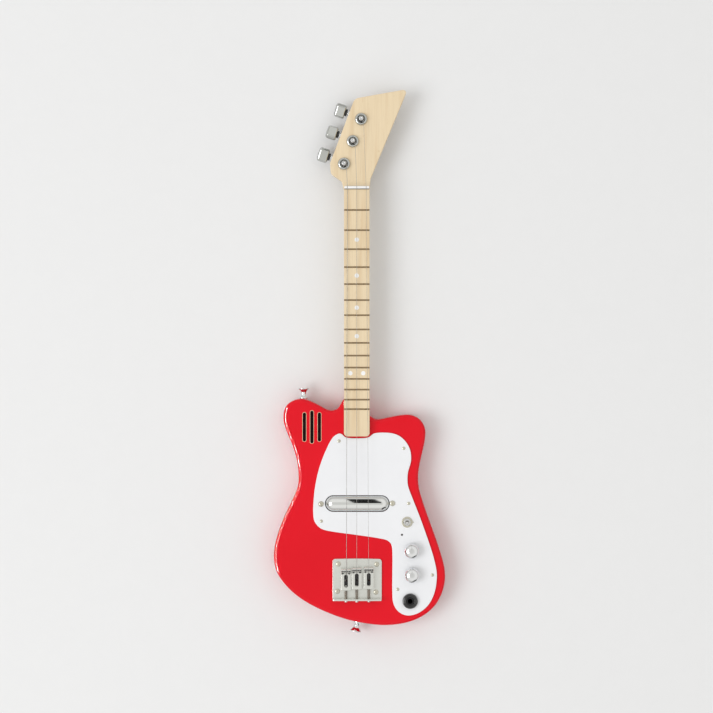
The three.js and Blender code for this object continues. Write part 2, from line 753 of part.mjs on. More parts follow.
function makeTunerHousing() {
  const shell = softPrism(
    roundedShape([[-8.5, -9.5, 4], [13.5, -9.5, 3], [13.5, 7.5, 3], [-8.5, 7.5, 4]]),
    13, HEADSTOCK_BACK - GAP, 1, 1, 4);
  const along = (from, to, radius, sides) =>
    rod([from, -GEAR_TO_WORM, WORM_HEIGHT], [to, -GEAR_TO_WORM, WORM_HEIGHT], radius, sides);
  return cut(
    join(shell, along(12, 21.4, 3.4, 16)),
    block([-5.2, 5.6], [-7.4, 4.6], [15, 30]),
    along(5, 25, boreRadius(SHAFT_RADIUS, RUNNING, 12), 12),
    along(-7.2, -5, boreRadius(WORM_CORE, RUNNING, 8), 8),
  );
}

function makeTunerBushing() {
  const bore = boreRadius(3, RUNNING);
  return turned([
    [bore, 25.6], [4.7, 25.6], [4.7, HEADSTOCK_FACE + GAP], [8.75, HEADSTOCK_FACE + GAP],
    [8.75, 40.4], [6.6, 43.2], [5.3, 43.2], [5.3, 41.6], [bore, 41.6], [bore, 25.6],
  ]);
}

// The string post with its gear wheel.
function makeTunerPost() {
  const lower = [[0, 15.5], [2.3, 15.5], [2.3, 22.4], [3, 23]];
  const upper = [[3, 44.6], [2.5, 45.2], [2.5, 46.8], [3, 47.4], [3, 49.6], [2.6, 50], [0, 50]];
  const pitchAngle = (2 * Math.PI) / GEAR_TEETH;
  const outline = [];
  for (let tooth = 0; tooth < GEAR_TEETH; tooth += 1) {
    const middle = (tooth + 0.5) * pitchAngle - Math.PI / 2;
    for (const [offset, radius] of [[-0.25, 2.75], [-0.13, 3.75], [0.13, 3.75], [0.25, 2.75]]) {
      const angle = middle + offset * pitchAngle;
      outline.push(new THREE.Vector2(radius * Math.cos(angle), radius * Math.sin(angle)));
    }
  }
  const stringHole = rod([-5, 0, STRING_AT_POST], [5, 0, STRING_AT_POST], 0.6, 6);
  return cut(
    join(turned([...lower, ...upper]), prism(new THREE.Shape(outline), 17, 21)),
    stringHole,
  );
}

// Centred on the shaft's own axis: the worm, its shaft and the end that carries the button.
function makeTunerWorm() {
  const section = new THREE.Shape();
  section.absarc(0, 0, 0.35, 0, 2 * Math.PI, false);
  const thread = new THREE.ExtrudeGeometry(section, {
    steps: 20,
    curveSegments: 2,
    bevelEnabled: false,
    extrudePath: new Helix(1.2, WORM_PITCH, 2.5),
  });
  return join(
    rod([-7, 0, 0], [6, 0, 0], WORM_CORE, 8),
    rod([5, 0, 0], [36, 0, 0], SHAFT_RADIUS, 12),
    thread,
  );
}

function makeTunerButton() {
  const section = roundedShape([
    [-10.4, 0, 2], [-7, -5, 3], [7, -5, 3], [10.4, 0, 2], [7, 5, 3], [-7, 5, 3],
  ]);
  const bore = rod([20, 0, 0], [36.4, 0, 0], SHAFT_RADIUS + GAP, 12);
  return cut(alongX(section, 24.2, 39.2, 1.2), bore);
}

// ------------------------------------------------------------------ assembly
const guitar = new THREE.Group();

function add(name, geometry, finish, [x, y, z] = [0, 0, 0], parent = guitar) {
  const mesh = new THREE.Mesh(geometry, finish);
  mesh.name = name;
  mesh.position.set(x, y, z);
  parent.add(mesh);
  return mesh;
}

add("body", makeBody(), RED_GLOSS);
add("neck", makeNeck(), MAPLE);
add("fretboard", makeFretboard(), MAPLE);
add("frets", makeFrets(), NICKEL);
add("nut", makeNut(), WHITE_PLASTIC);
NECK_SCREWS.forEach(([x, y], i) => add(`neck_screw_${i + 1}`, makeNeckScrew(), STEEL, [x, y, 0]));

add("pickguard", makePickguard(), WHITE_PLASTIC);
add("pickup_cover", makePickupCover(), CHROME);
add("pickup_base", makePickupBase(), BLACK_PLASTIC);
for (const [side, [x, y]] of Object.entries(PICKUP_SCREWS)) {
  add(`pickup_screw_${side}`, makePickupScrew(), STEEL, [x, y, 0]);
}
add("toggle_switch_body", makeToggleBody(), STEEL, [...TOGGLE, 0]);
add("toggle_nut", makeToggleNut(), CHROME, [...TOGGLE, 0]);
add("toggle_lever", makeToggleLever(), CHROME, [...TOGGLE, 0]);
add("power_led", makeLed(), DARK_LENS, [...LED, 0]);
for (const [control, at] of [["volume", VOLUME], ["tone", TONE]]) {
  add(`${control}_pot`, makePot(), STEEL, [...at, 0]);
  add(`${control}_shaft`, makeControlShaft(), STEEL, [...at, 0]);
  add(`${control}_knob`, makeKnob(), CHROME, [...at, 0]);
}
add("jack_socket", makeJackSocket(), STEEL, [...JACK, 0]);
add("jack_nut", makeJackNut(), BLACK_PLASTIC, [...JACK, 0]);
add("amp_board", makeAmpBoard(), BOARD_GREEN);

add("speaker_frame", makeSpeakerFrame(), STEEL, [...SPEAKER, 0]);
add("speaker_cone", makeSpeakerCone(), PAPER, [...SPEAKER, 0]);
add("speaker_cover", makeSpeakerCover(), BLACK_PLASTIC, [...SPEAKER, 0]);
add("battery_box", makeBatteryBox(), BLACK_PLASTIC, [...BATTERY, 0]);
add("battery_door", makeBatteryDoor(), BLACK_PLASTIC, [...BATTERY, 0]);
add("battery", makeBattery(), BATTERY_CASE, [...BATTERY, 0]);

add("bridge_plate", makeBridgePlate(), CHROME);
SADDLES.forEach(({ x, front }, i) => {
  add(`saddle_${i + 1}`, makeSaddle(), CHROME, [x, front, 0]);
  add(`intonation_screw_${i + 1}`, makeIntonationScrew(), STEEL,
    [x, BRIDGE_BACK - GAP, SADDLE_SCREW_HEIGHT]);
});
STRING_RADII.forEach((radius, i) => add(`string_${i + 1}`, makeString(i), STEEL));

add("strap_button_upper", makeStrapButton(), CHROME, [-73.8, 233, WORM_HEIGHT]);
const lowerButton = add("strap_button_lower", makeStrapButton(), CHROME, [1, -75.4, WORM_HEIGHT]);
lowerButton.rotation.z = THREE.MathUtils.degToRad(167.9);

TUNER_POSTS.forEach(([x, y], i) => {
  const tuner = new THREE.Group();
  tuner.position.set(x, y, 0);
  tuner.rotation.z = THREE.MathUtils.degToRad(TUNER_ANGLE);
  guitar.add(tuner);
  add(`tuner_housing_${i + 1}`, makeTunerHousing(), CHROME, [0, 0, 0], tuner);
  add(`tuner_bushing_${i + 1}`, makeTunerBushing(), CHROME, [0, 0, 0], tuner);
  add(`tuner_post_${i + 1}`, makeTunerPost(), STEEL, [0, 0, 0], tuner);
  const shaftLine = [0, -GEAR_TO_WORM, WORM_HEIGHT];
  add(`tuner_worm_${i + 1}`, makeTunerWorm(), STEEL, shaftLine, tuner);
  const button = add(`tuner_button_${i + 1}`, makeTunerButton(), CHROME, shaftLine, tuner);
  button.rotation.x = THREE.MathUtils.degToRad(TUNER_BUTTON_TURNS[i]);
});

export default guitar;
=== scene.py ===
"""A small three-string electric guitar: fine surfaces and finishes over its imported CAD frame."""

import json
import math

import bmesh
import bpy
from mathutils import Matrix, Vector


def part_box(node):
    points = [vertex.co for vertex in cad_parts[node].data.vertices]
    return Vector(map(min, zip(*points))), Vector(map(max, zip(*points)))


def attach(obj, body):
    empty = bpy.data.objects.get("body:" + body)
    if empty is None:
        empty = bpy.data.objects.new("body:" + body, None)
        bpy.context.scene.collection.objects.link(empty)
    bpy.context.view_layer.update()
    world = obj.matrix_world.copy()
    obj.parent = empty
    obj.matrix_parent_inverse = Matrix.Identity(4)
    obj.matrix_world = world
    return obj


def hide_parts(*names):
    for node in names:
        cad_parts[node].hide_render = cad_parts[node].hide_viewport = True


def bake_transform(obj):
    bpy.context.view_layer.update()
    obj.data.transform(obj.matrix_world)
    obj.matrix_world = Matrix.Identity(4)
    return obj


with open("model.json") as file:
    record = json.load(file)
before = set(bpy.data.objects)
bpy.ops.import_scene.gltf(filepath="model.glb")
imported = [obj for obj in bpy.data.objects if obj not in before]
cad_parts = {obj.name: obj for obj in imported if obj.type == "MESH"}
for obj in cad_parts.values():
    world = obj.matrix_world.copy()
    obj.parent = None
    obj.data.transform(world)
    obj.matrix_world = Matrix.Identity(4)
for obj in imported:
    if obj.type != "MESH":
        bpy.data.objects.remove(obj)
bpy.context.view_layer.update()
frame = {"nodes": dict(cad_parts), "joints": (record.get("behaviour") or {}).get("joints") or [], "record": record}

# ------------------------------------------------------------------ sizes, in metres
MM = 0.001
STRING_RADII = (0.34 * MM, 0.26 * MM, 0.2 * MM)
STRING_X_AT_NUT = (-12.9 * MM, 0, 12.9 * MM)
STRING_X_AT_BRIDGE = (-14.1 * MM, 0, 16.2 * MM)
STRING_AT_NUT = 49.5 * MM
STRING_AT_SADDLE = 51.5 * MM
STRING_AT_POST = 46 * MM
STRING_HOLE_Y = -16 * MM
SCALE_LENGTH = 520 * MM
FRET_COUNT = 15
NUT_MIDDLE = SCALE_LENGTH + 1.75 * MM
POST_RADIUS = 3 * MM
GEAR_TEETH = 14
WORM_OFFSET = -4.8 * MM
WORM_HEIGHT = 19 * MM
BUTTON_TURNS = (12, -16, 20)
BRIDGE_TOP = 40.3 * MM
GRUB_OFFSETS = (-4.4 * MM, 4.4 * MM)

BODY_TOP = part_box("body")[1].z
ROUNDOVER = 5 * MM
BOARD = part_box("fretboard")
NECK_HALF = BOARD[1].x
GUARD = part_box("pickguard")
NECK_TOP = 40.7 * MM
HEADSTOCK_FACE = 39 * MM
HEADSTOCK_BACK = 25 * MM
HEADSTOCK_CORNERS = (
    (-17.3, 517, 0), (17.3, 517, 0), (19, 534.5, 12), (70.1, 657.6, 4),
    (-3, 644.5, 10), (-36.8, 555.5, 8), (-35.6, 541, 8), (-20.6, 531, 6),
)
CONTROL_CAVITY = (
    (62, -54, 8), (86, -55, 12), (97, -30, 20), (97, 4, 20), (82, 60, 10), (76, 76, 6), (57, 76, 6))
GUARD_SCREWS = (
    (-24.4, 174.8), (64.4, 164.8), (71.1, 89.3), (-48.6, 65), (103.6, -8.8), (55.9, -28.4))
BRIDGE_SCREWS = ((-25.3, 6.2), (27.3, 5.9), (-26.6, -31.1), (26.2, -32.2))

UP = (0, 0, 1)
DOWN = (0, 0, -1)
ALONG = (0, 1, 0)
ACROSS = (1, 0, 0)


def mm(*points):
    """Points given in millimetres, in metres."""
    return [tuple(c * MM for c in point) for point in points]


def centre(node):
    low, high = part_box(node)
    return (low + high) / 2


def over(at):
    """The move that takes the Z axis to a point seen from above."""
    return Matrix.Translation((at[0], at[1], 0))


def joint(name):
    return next(j for j in frame["joints"] if j["name"] == name)


# ------------------------------------------------------------------ finishes
def ramp_of(tree, source, stops):
    node = tree.nodes.new("ShaderNodeValToRGB")
    elements = node.color_ramp.elements
    elements.remove(elements[1])
    elements[0].position = stops[0][0]
    elements[0].color = (*stops[0][1], 1)
    for position, colour in stops[1:]:
        elements.new(position).color = (*colour, 1)
    tree.links.new(source, node.inputs["Fac"])
    return node.outputs["Color"]


def mixed(tree, kind, first, second, factor=1.0):
    mix = tree.nodes.new("ShaderNodeMix")
    mix.data_type = "RGBA"
    mix.blend_type = kind
    mix.inputs[0].default_value = factor
    tree.links.new(first, mix.inputs[6])
    tree.links.new(second, mix.inputs[7])
    return mix.outputs[2]


class Nodes:
    """A material's node tree, with short ways to add and join nodes."""

    def __init__(self, name):
        self.material = bpy.data.materials.new(name)
        self.material.use_nodes = True
        self.tree = self.material.node_tree
        self.shader = self.tree.nodes["Principled BSDF"]
        self.place = self.add("ShaderNodeTexCoord").outputs["Object"]

    def add(self, kind, **values):
        node = self.tree.nodes.new(kind)
        for key, value in values.items():
            if key in node.inputs:
                node.inputs[key].default_value = value
            else:
                setattr(node, key, value)
        return node

    def join(self, source, target):
        self.tree.links.new(source, target)

    def set(self, **values):
        for key, value in values.items():
            self.shader.inputs[key.replace("_", " ")].default_value = value

    def stretched(self, scale):
        mapping = self.add("ShaderNodeMapping")
        mapping.inputs["Scale"].default_value = scale
        self.join(self.place, mapping.inputs["Vector"])
        return mapping.outputs["Vector"]

    def noise(self, scale, detail=4.0, stretch=None):
        node = self.add("ShaderNodeTexNoise", Scale=scale, Detail=detail)
        self.join(self.stretched(stretch) if stretch else self.place, node.inputs["Vector"])
        return node.outputs["Fac"]

    def ramp(self, source, stops):
        return ramp_of(self.tree, source, stops)

    def between(self, source, low, high):
        node = self.add("ShaderNodeMapRange")
        node.inputs["From Min"].default_value = 0.3
        node.inputs["From Max"].default_value = 0.7
        node.inputs["To Min"].default_value = low
        node.inputs["To Max"].default_value = high
        self.join(source, node.inputs["Value"])
        return node.outputs["Result"]

    def bump(self, source, strength, distance):
        node = self.add("ShaderNodeBump", Strength=strength, Distance=distance)
        self.join(source, node.inputs["Height"])
        self.join(node.outputs["Normal"], self.shader.inputs["Normal"])


def tinted(colour, factor):
    return tuple(min(1.0, c * factor) for c in colour)


def plain_finish(name, colour, roughness, metallic=0.0, spread=0.06, grain=900.0, relief=0.04, **more):
    """A finish that varies a little in colour and gloss, with a fine relief."""
    nodes = Nodes(name)
    nodes.set(Metallic=metallic, **more)
    cloudy = nodes.noise(35.0)
    stops = ((0.3, tinted(colour, 1 - spread)), (0.7, tinted(colour, 1 + spread)))
    nodes.join(nodes.ramp(cloudy, stops), nodes.shader.inputs["Base Color"])
    gloss = nodes.between(nodes.noise(120.0), roughness * 0.8, roughness * 1.25)
    nodes.join(gloss, nodes.shader.inputs["Roughness"])
    nodes.bump(nodes.noise(grain, 2.0), relief, 0.0002)
    return nodes.material


def lacquer_finish():
    """Gloss red over sealed wood: a clear coat with a faint orange peel."""
    nodes = Nodes("red_lacquer")
    nodes.set(Roughness=0.45, Specular_IOR_Level=0.0, Coat_Weight=1.0, Coat_Roughness=0.015, Coat_IOR=1.33)
    stops = ((0.3, (0.70, 0.0018, 0.0115)), (0.7, (0.755, 0.0026, 0.0145)))
    nodes.join(nodes.ramp(nodes.noise(9.0), stops), nodes.shader.inputs["Base Color"])
    nodes.bump(nodes.noise(160.0, 1.0), 0.02, 0.0004)
    return nodes.material


def maple_finish(name, pale, dark):
    """Pale maple whose grain runs along the neck, with short pores and a few flecks."""
    nodes = Nodes(name)
    nodes.set(Coat_Weight=0.35, Coat_Roughness=0.22)
    bands = nodes.noise(14.0, 3.0, (9.0, 0.55, 9.0))
    fibres = nodes.noise(60.0, 6.0, (14.0, 0.35, 14.0))
    flecks = nodes.noise(90.0, 2.0, (3.0, 0.8, 3.0))
    base = nodes.ramp(bands, ((0.3, dark), (0.5, pale), (0.74, tinted(pale, 1.04))))
    shade = nodes.ramp(fibres, ((0.25, (0.92, 0.895, 0.85)), (0.6, (1.0, 1.0, 1.0))))
    shaded = mixed(nodes.tree, "MULTIPLY", base, shade, 0.8)
    spots = nodes.ramp(flecks, ((0.2, (0.82, 0.72, 0.58)), (0.33, (1.0, 1.0, 1.0))))
    flecked = mixed(nodes.tree, "MULTIPLY", shaded, spots, 0.6)
    nodes.join(flecked, nodes.shader.inputs["Base Color"])
    nodes.join(nodes.between(fibres, 0.5, 0.38), nodes.shader.inputs["Roughness"])
    nodes.bump(fibres, 0.08, 0.0003)
    return nodes.material


def wound_finish():
    """Round wire wound on a core: fine rings along the string."""
    nodes = Nodes("string_steel")
    nodes.set(Metallic=1.0, Roughness=0.32)
    rings = nodes.add("ShaderNodeTexWave", bands_direction="Y", Scale=900.0)
    nodes.join(nodes.place, rings.inputs["Vector"])
    stops = ((0.0, (0.27, 0.26, 0.25)), (1.0, (0.5, 0.49, 0.47)))
    nodes.join(nodes.ramp(rings.outputs["Fac"], stops), nodes.shader.inputs["Base Color"])
    nodes.bump(rings.outputs["Fac"], 0.4, 0.0001)
    return nodes.material


def board_finish():
    """Green solder mask with a grid of lighter tracks."""
    nodes = Nodes("circuit_board")
    nodes.set(Roughness=0.4)
    tracks = nodes.add("ShaderNodeTexVoronoi", distance="CHEBYCHEV", Scale=220.0)
    nodes.join(nodes.place, tracks.inputs["Vector"])
    stops = ((0.0, (0.03, 0.22, 0.08)), (0.5, (0.01, 0.11, 0.04)))
    nodes.join(nodes.ramp(tracks.outputs["Distance"], stops), nodes.shader.inputs["Base Color"])
    nodes.bump(tracks.outputs["Distance"], 0.2, 0.0002)
    return nodes.material


FINISHES = {
    "red_lacquer": lacquer_finish(),
    "maple": maple_finish("maple", (0.79, 0.645, 0.435), (0.74, 0.575, 0.365)),
    "white_plastic": plain_finish(
        "white_plastic", (0.83, 0.84, 0.87), 0.16, spread=0.012, grain=400.0, relief=0.01,
        Coat_Weight=0.5, Coat_Roughness=0.08),
    "black_plastic": plain_finish("black_plastic", (0.016, 0.016, 0.018), 0.5, relief=0.25),
    "black_gloss": plain_finish(
        "black_gloss", (0.006, 0.006, 0.007), 0.16, relief=0.03, Coat_Weight=0.6),
    "chrome": plain_finish(
        "chrome", (0.80, 0.81, 0.82), 0.05, 1.0, spread=0.02, grain=150.0, relief=0.012),
    "steel": plain_finish("steel", (0.52, 0.51, 0.49), 0.3, 1.0, relief=0.1),
    "fret_wire": plain_finish("fret_wire", (0.30, 0.22, 0.13), 0.3, 1.0, relief=0.05),
    "string_steel": wound_finish(),
    "led_lens": plain_finish("led_lens", (0.03, 0.01, 0.01), 0.1, Coat_Weight=1.0),
    "circuit_board": board_finish(),
    "cone_paper": plain_finish("cone_paper", (0.012, 0.012, 0.013), 0.9, relief=0.5),
    "battery_case": plain_finish("battery_case", (0.04, 0.05, 0.07), 0.35, 0.4),
}
SATIN_CHROME = plain_finish(
    "satin_chrome", (0.76, 0.77, 0.73), 0.2, 0.75, spread=0.025, grain=700.0, relief=0.02)
WARM_NICKEL = plain_finish("warm_nickel", (0.60, 0.575, 0.48), 0.24, 0.7, relief=0.04)
MIRROR_CHROME = plain_finish(
    "mirror_chrome", (0.80, 0.81, 0.80), 0.02, 1.0, spread=0.01, grain=60.0, relief=0.001)
BUTTON_CHROME = plain_finish(
    "button_chrome", (0.56, 0.57, 0.55), 0.1, 1.0, spread=0.02, grain=150.0, relief=0.012)
PEARL = plain_finish("pearl_dot", (0.88, 0.88, 0.88), 0.2, spread=0.05, Coat_Weight=0.6)
SPRING_WIRE = plain_finish("spring_wire", (0.42, 0.34, 0.27), 0.3, 1.0, relief=0.05)


# ------------------------------------------------------------------ outlines
def softened(points, radius, steps=4):
    """An open line of 2-D points whose inner corners are rounded."""
    line = [Vector(p) for p in points]
    out = [line[0]]
    for before, corner, after in zip(line, line[1:], line[2:]):
        reach = min(radius, 0.45 * (before - corner).length, 0.45 * (after - corner).length)
        start = corner + (before - corner).normalized() * reach
        end = corner + (after - corner).normalized() * reach
        for k in range(steps + 1):
            t = k / steps
            out.append((1 - t) ** 2 * start + 2 * t * (1 - t) * corner + t * t * end)
    return out + [line[-1]]


def rounded_polygon(corners, steps=8):
    """A closed outline with corners (x, y, radius) in millimetres, counterclockwise."""
    out = []
    for i, (x, y, radius) in enumerate(corners):
        corner = Vector((x, y)) * MM
        back = (Vector(corners[i - 1][:2]) * MM - corner).normalized()
        ahead = (Vector(corners[(i + 1) % len(corners)][:2]) * MM - corner).normalized()
        if radius == 0:
            out.append(corner)
            continue
        half = back.angle(ahead) / 2
        reach = radius * MM / math.tan(half)
        hub = corner + (back + ahead).normalized() * radius * MM / math.sin(half)
        start = corner + back * reach - hub
        sweep = -start.angle_signed(corner + ahead * reach - hub)
        for k in range(steps + 1):
            out.append(hub + Matrix.Rotation(sweep * k / steps, 2) @ start)
    return out


def rounded_box(low, high, radius):
    """A rounded rectangle between two corners in metres."""
    x0, y0, x1, y1 = (v / MM for v in (low[0], low[1], high[0], high[1]))
    r = radius / MM
    return rounded_polygon(((x0, y0, r), (x1, y0, r), (x1, y1, r), (x0, y1, r)))


def grown_box(low, high, margin, radius):
    """A rounded rectangle round two corners, wider by a margin on each side."""
    return rounded_box((low.x - margin, low.y - margin), (high.x + margin, high.y + margin), radius)


def stadium(middle, length, width, steps=20):
    straight = (length - width) / 2
    out = []
    for k in range(2 * steps + 2):
        end = 1 if k <= steps else -1
        angle = math.pi * ((k - (0 if k <= steps else 1)) / steps - 0.5)
        spoke = Vector((math.cos(angle), math.sin(angle))) * width / 2
        out.append(Vector((middle[0] + end * straight, middle[1])) + spoke)
    return out


def circle(middle, radius, steps=48):
    turns = [2 * math.pi * k / steps for k in range(steps)]
    return [Vector((middle[0] + radius * math.cos(a), middle[1] + radius * math.sin(a))) for a in turns]


def inset(outline, distance):
    """A closed counterclockwise outline moved inward."""
    out = []
    for i, point in enumerate(outline):
        before = (point - outline[i - 1]).normalized()
        after = (outline[(i + 1) % len(outline)] - point).normalized()
        tangent = (before + after).normalized()
        inward = Vector((-tangent.y, tangent.x))
        out.append(point + inward * distance / max(0.4, tangent.dot(after)))
    return out


def length_of(loop):
    return sum((a - b).length for a, b in zip(loop, loop[1:] + loop[:1]))


def loops_of(node, height):
    """The closed loops of a CAD node's edges that lie at a height, longest first, counterclockwise."""
    mesh = frame["nodes"][node].data
    keys = [tuple(round(c, 6) for c in v.co) for v in mesh.vertices]
    sides = {}
    for face in mesh.polygons:
        corners = [keys[i] for i in face.vertices]
        flat = all(abs(c[2] - height) < 2e-6 for c in corners)
        for a, b in zip(corners, corners[1:] + corners[:1]):
            if abs(a[2] - height) < 2e-6 and abs(b[2] - height) < 2e-6 and a != b:
                sides.setdefault(frozenset((a, b)), []).append(flat)
    ways = {}
    for edge, flats in sides.items():
        if not all(flats):
            a, b = edge
            ways.setdefault(a, []).append(b)
            ways.setdefault(b, []).append(a)
    loops = []
    while ways:
        start = next(iter(ways))
        loop = [start]
        while True:
            onward = [p for p in ways.pop(loop[-1], []) if p in ways]
            if not onward:
                break
            loop.append(onward[0])
        loops.append([Vector(p[:2]) for p in loop])
    turned_round = []
    for loop in loops:
        area = sum(a.cross(b) for a, b in zip(loop, loop[1:] + loop[:1]))
        turned_round.append(loop if area > 0 else loop[::-1])
    return sorted(turned_round, key=length_of, reverse=True)


def between(first, second, start, end, now):
    """The point on the way from one point to another, at a time from start to end."""
    return first * ((end - now) / (end - start)) + second * ((now - start) / (end - start))


def smoothed(loop, parts=4):
    """A closed outline through the same points, on a centripetal spline."""
    out = []
    count = len(loop)
    for i in range(count):
        near = [loop[(i + k - 1) % count] for k in range(4)]
        times = [0.0]
        for a, b in zip(near, near[1:]):
            times.append(times[-1] + max(1e-9, (b - a).length) ** 0.5)
        for k in range(parts):
            now = times[1] + (times[2] - times[1]) * k / parts
            level = near
            for reach in (1, 2):
                level = [
                    between(level[j], level[j + 1], times[j], times[j + reach], now)
                    for j in range(len(level) - 1)]
            out.append(between(*level, times[1], times[2], now))
    return out


# ------------------------------------------------------------------ solids
def skin(rings, looped=False):
    """A mesh through rings of equally many points; a ring of one point is a pole."""
    vertices = []
    starts = []
    for ring in rings:
        starts.append(len(vertices))
        vertices.extend(ring)
    faces = []
    pairs = list(zip(range(len(rings)), range(1, len(rings))))
    if looped:
        pairs.append((len(rings) - 1, 0))
    for low, high in pairs:
        a, b = starts[low], starts[high]
        n, m = len(rings[low]), len(rings[high])
        for k in range(max(n, m)):
            j = (k + 1) % max(n, m)
            if n == 1:
                faces.append((a, b + j, b + k))
            elif m == 1:
                faces.append((a + k, a + j, b))
            else:
                faces.append((a + k, a + j, b + j, b + k))
    if not looped:
        if len(rings[0]) > 1:
            faces.append(tuple(range(starts[0] + len(rings[0]) - 1, starts[0] - 1, -1)))
        if len(rings[-1]) > 1:
            faces.append(tuple(range(starts[-1], starts[-1] + len(rings[-1]))))
    mesh = bpy.data.meshes.new("skin")
    mesh.from_pydata([tuple(v) for v in vertices], [], faces)
    return facing_out(mesh)


def facing_out(mesh):
    work = bmesh.new()
    work.from_mesh(mesh)
    bmesh.ops.recalc_face_normals(work, faces=work.faces)
    work.to_mesh(mesh)
    work.free()
    return mesh


def turned(profile, sides=64, edge=0.0, looped=False):
    """A profile of (radius, height) points turned about Z, its corners rounded by edge."""
    line = softened(profile, edge) if edge else [Vector(p) for p in profile]
    if looped and edge:
        line = softened([profile[-1], *profile, profile[0]], edge)[1:-1]
    rings = []
    for radius, height in line:
        if radius < 1e-7:
            rings.append([Vector((0, 0, height))])
            continue
        turns = [2 * math.pi * k / sides for k in range(sides)]
        rings.append([Vector((radius * math.cos(a), radius * math.sin(a), height)) for a in turns])
    return skin(rings, looped)


def slab(outline, low, high, edge=0.0, steps=4, low_edge=None):
    """A plate between two heights whose upper and lower edges are rounded over."""
    low_edge = edge if low_edge is None else low_edge
    rings = []
    for radius, height, way in ((low_edge, low, -1), (edge, high, 1)):
        if radius <= 0:
            rings.append((0.0, height))
            continue
        for k in range(steps + 1):
            angle = math.pi / 2 * (k if way > 0 else steps - k) / steps
            rings.append((radius * (1 - math.cos(angle)), height + way * radius * (math.sin(angle) - 1)))
    return skin([[Vector((*p, z)) for p in inset(outline, d)] if d else
                 [Vector((*p, z)) for p in outline] for d, z in rings])


def disc(at, radius, low, high, sides=48, **edges):
    """A round plate between two heights, its radius in millimetres."""
    return slab(circle(at, radius * MM, sides), low, high, **edges)


def tube(path, radius, sides):
    """A round wire along points, its rings mitred at each point."""
    points = [Vector(p) for p in path]
    rings = []
    side = None
    for i, point in enumerate(points):
        ahead = points[min(i + 1, len(points) - 1)] - points[max(i - 1, 0)]
        along = ahead.normalized()
        if side is None:
            side = along.orthogonal().normalized()
        side = (side - along * side.dot(along)).normalized()
        across = along.cross(side)
        turns = [2 * math.pi * k / sides for k in range(sides)]
        rings.append([point + (side * math.cos(a) + across * math.sin(a)) * radius for a in turns])
    return skin(rings)


def towards(direction, origin, about=0.0):
    """The matrix that turns Z into a direction, after a turn about Z, and moves to an origin."""
    turn = Vector((0, 0, 1)).rotation_difference(Vector(direction)).to_matrix().to_4x4()
    return Matrix.Translation(origin) @ turn @ Matrix.Rotation(about, 4, "Z")


def moved(mesh, matrix):
    mesh.transform(matrix)
    return mesh


def combined(mesh, others, operation="DIFFERENCE"):
    """A mesh with others cut from it, or joined to it, exactly."""
    work = bpy.data.objects.new("work", mesh)
    bpy.context.collection.objects.link(work)
    tools = []
    for other in others:
        tool = bpy.data.objects.new("tool", other)
        bpy.context.collection.objects.link(tool)
        tools.append(tool)
        modifier = work.modifiers.new("cut", "BOOLEAN")
        modifier.object = tool
        modifier.operation = operation
        modifier.solver = "EXACT"
    graph = bpy.context.evaluated_depsgraph_get()
    made = bpy.data.meshes.new_from_object(work.evaluated_get(graph))
    for obj in (work, *tools):
        bpy.data.objects.remove(obj)
    return made


def merged(*meshes):
    """Several meshes as one, their surfaces left apart."""
    work = bmesh.new()
    for mesh in meshes:
        work.from_mesh(mesh)
    made = bpy.data.meshes.new("merged")
    work.to_mesh(made)
    work.free()
    return made


def piece(name, mesh, slot, body="root", stands_for=(), finish=None, sharp=38.0, blend=None):
    """Adds a named piece with its finish, riding on a body or blended between two."""
    mesh.name = name
    facing_out(mesh)
    mesh.materials.clear()
    mesh.materials.append(finish or FINISHES[slot])
    mesh.shade_smooth()
    mesh.set_sharp_from_angle(angle=math.radians(sharp))
    obj = bpy.data.objects.new(name, mesh)
    bpy.context.collection.objects.link(obj)
    weighting = obj.modifiers.new("even_shading", "WEIGHTED_NORMAL")
    weighting.keep_sharp = True
    if blend:
        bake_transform(obj)
    else:
        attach(obj, body)
    if stands_for:
        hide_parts(*stands_for)
    return obj


# ------------------------------------------------------------------ body
def sound_slots(speaker):
    """The length of each slot over the speaker, and the move that lays it along the neck."""
    for step, length in ((-1, 39.8), (0, 45), (1, 39.8)):
        at = Vector((speaker.x + step * 10.3 * MM, speaker.y, 0))
        yield length * MM, towards(UP, at, math.pi / 2)


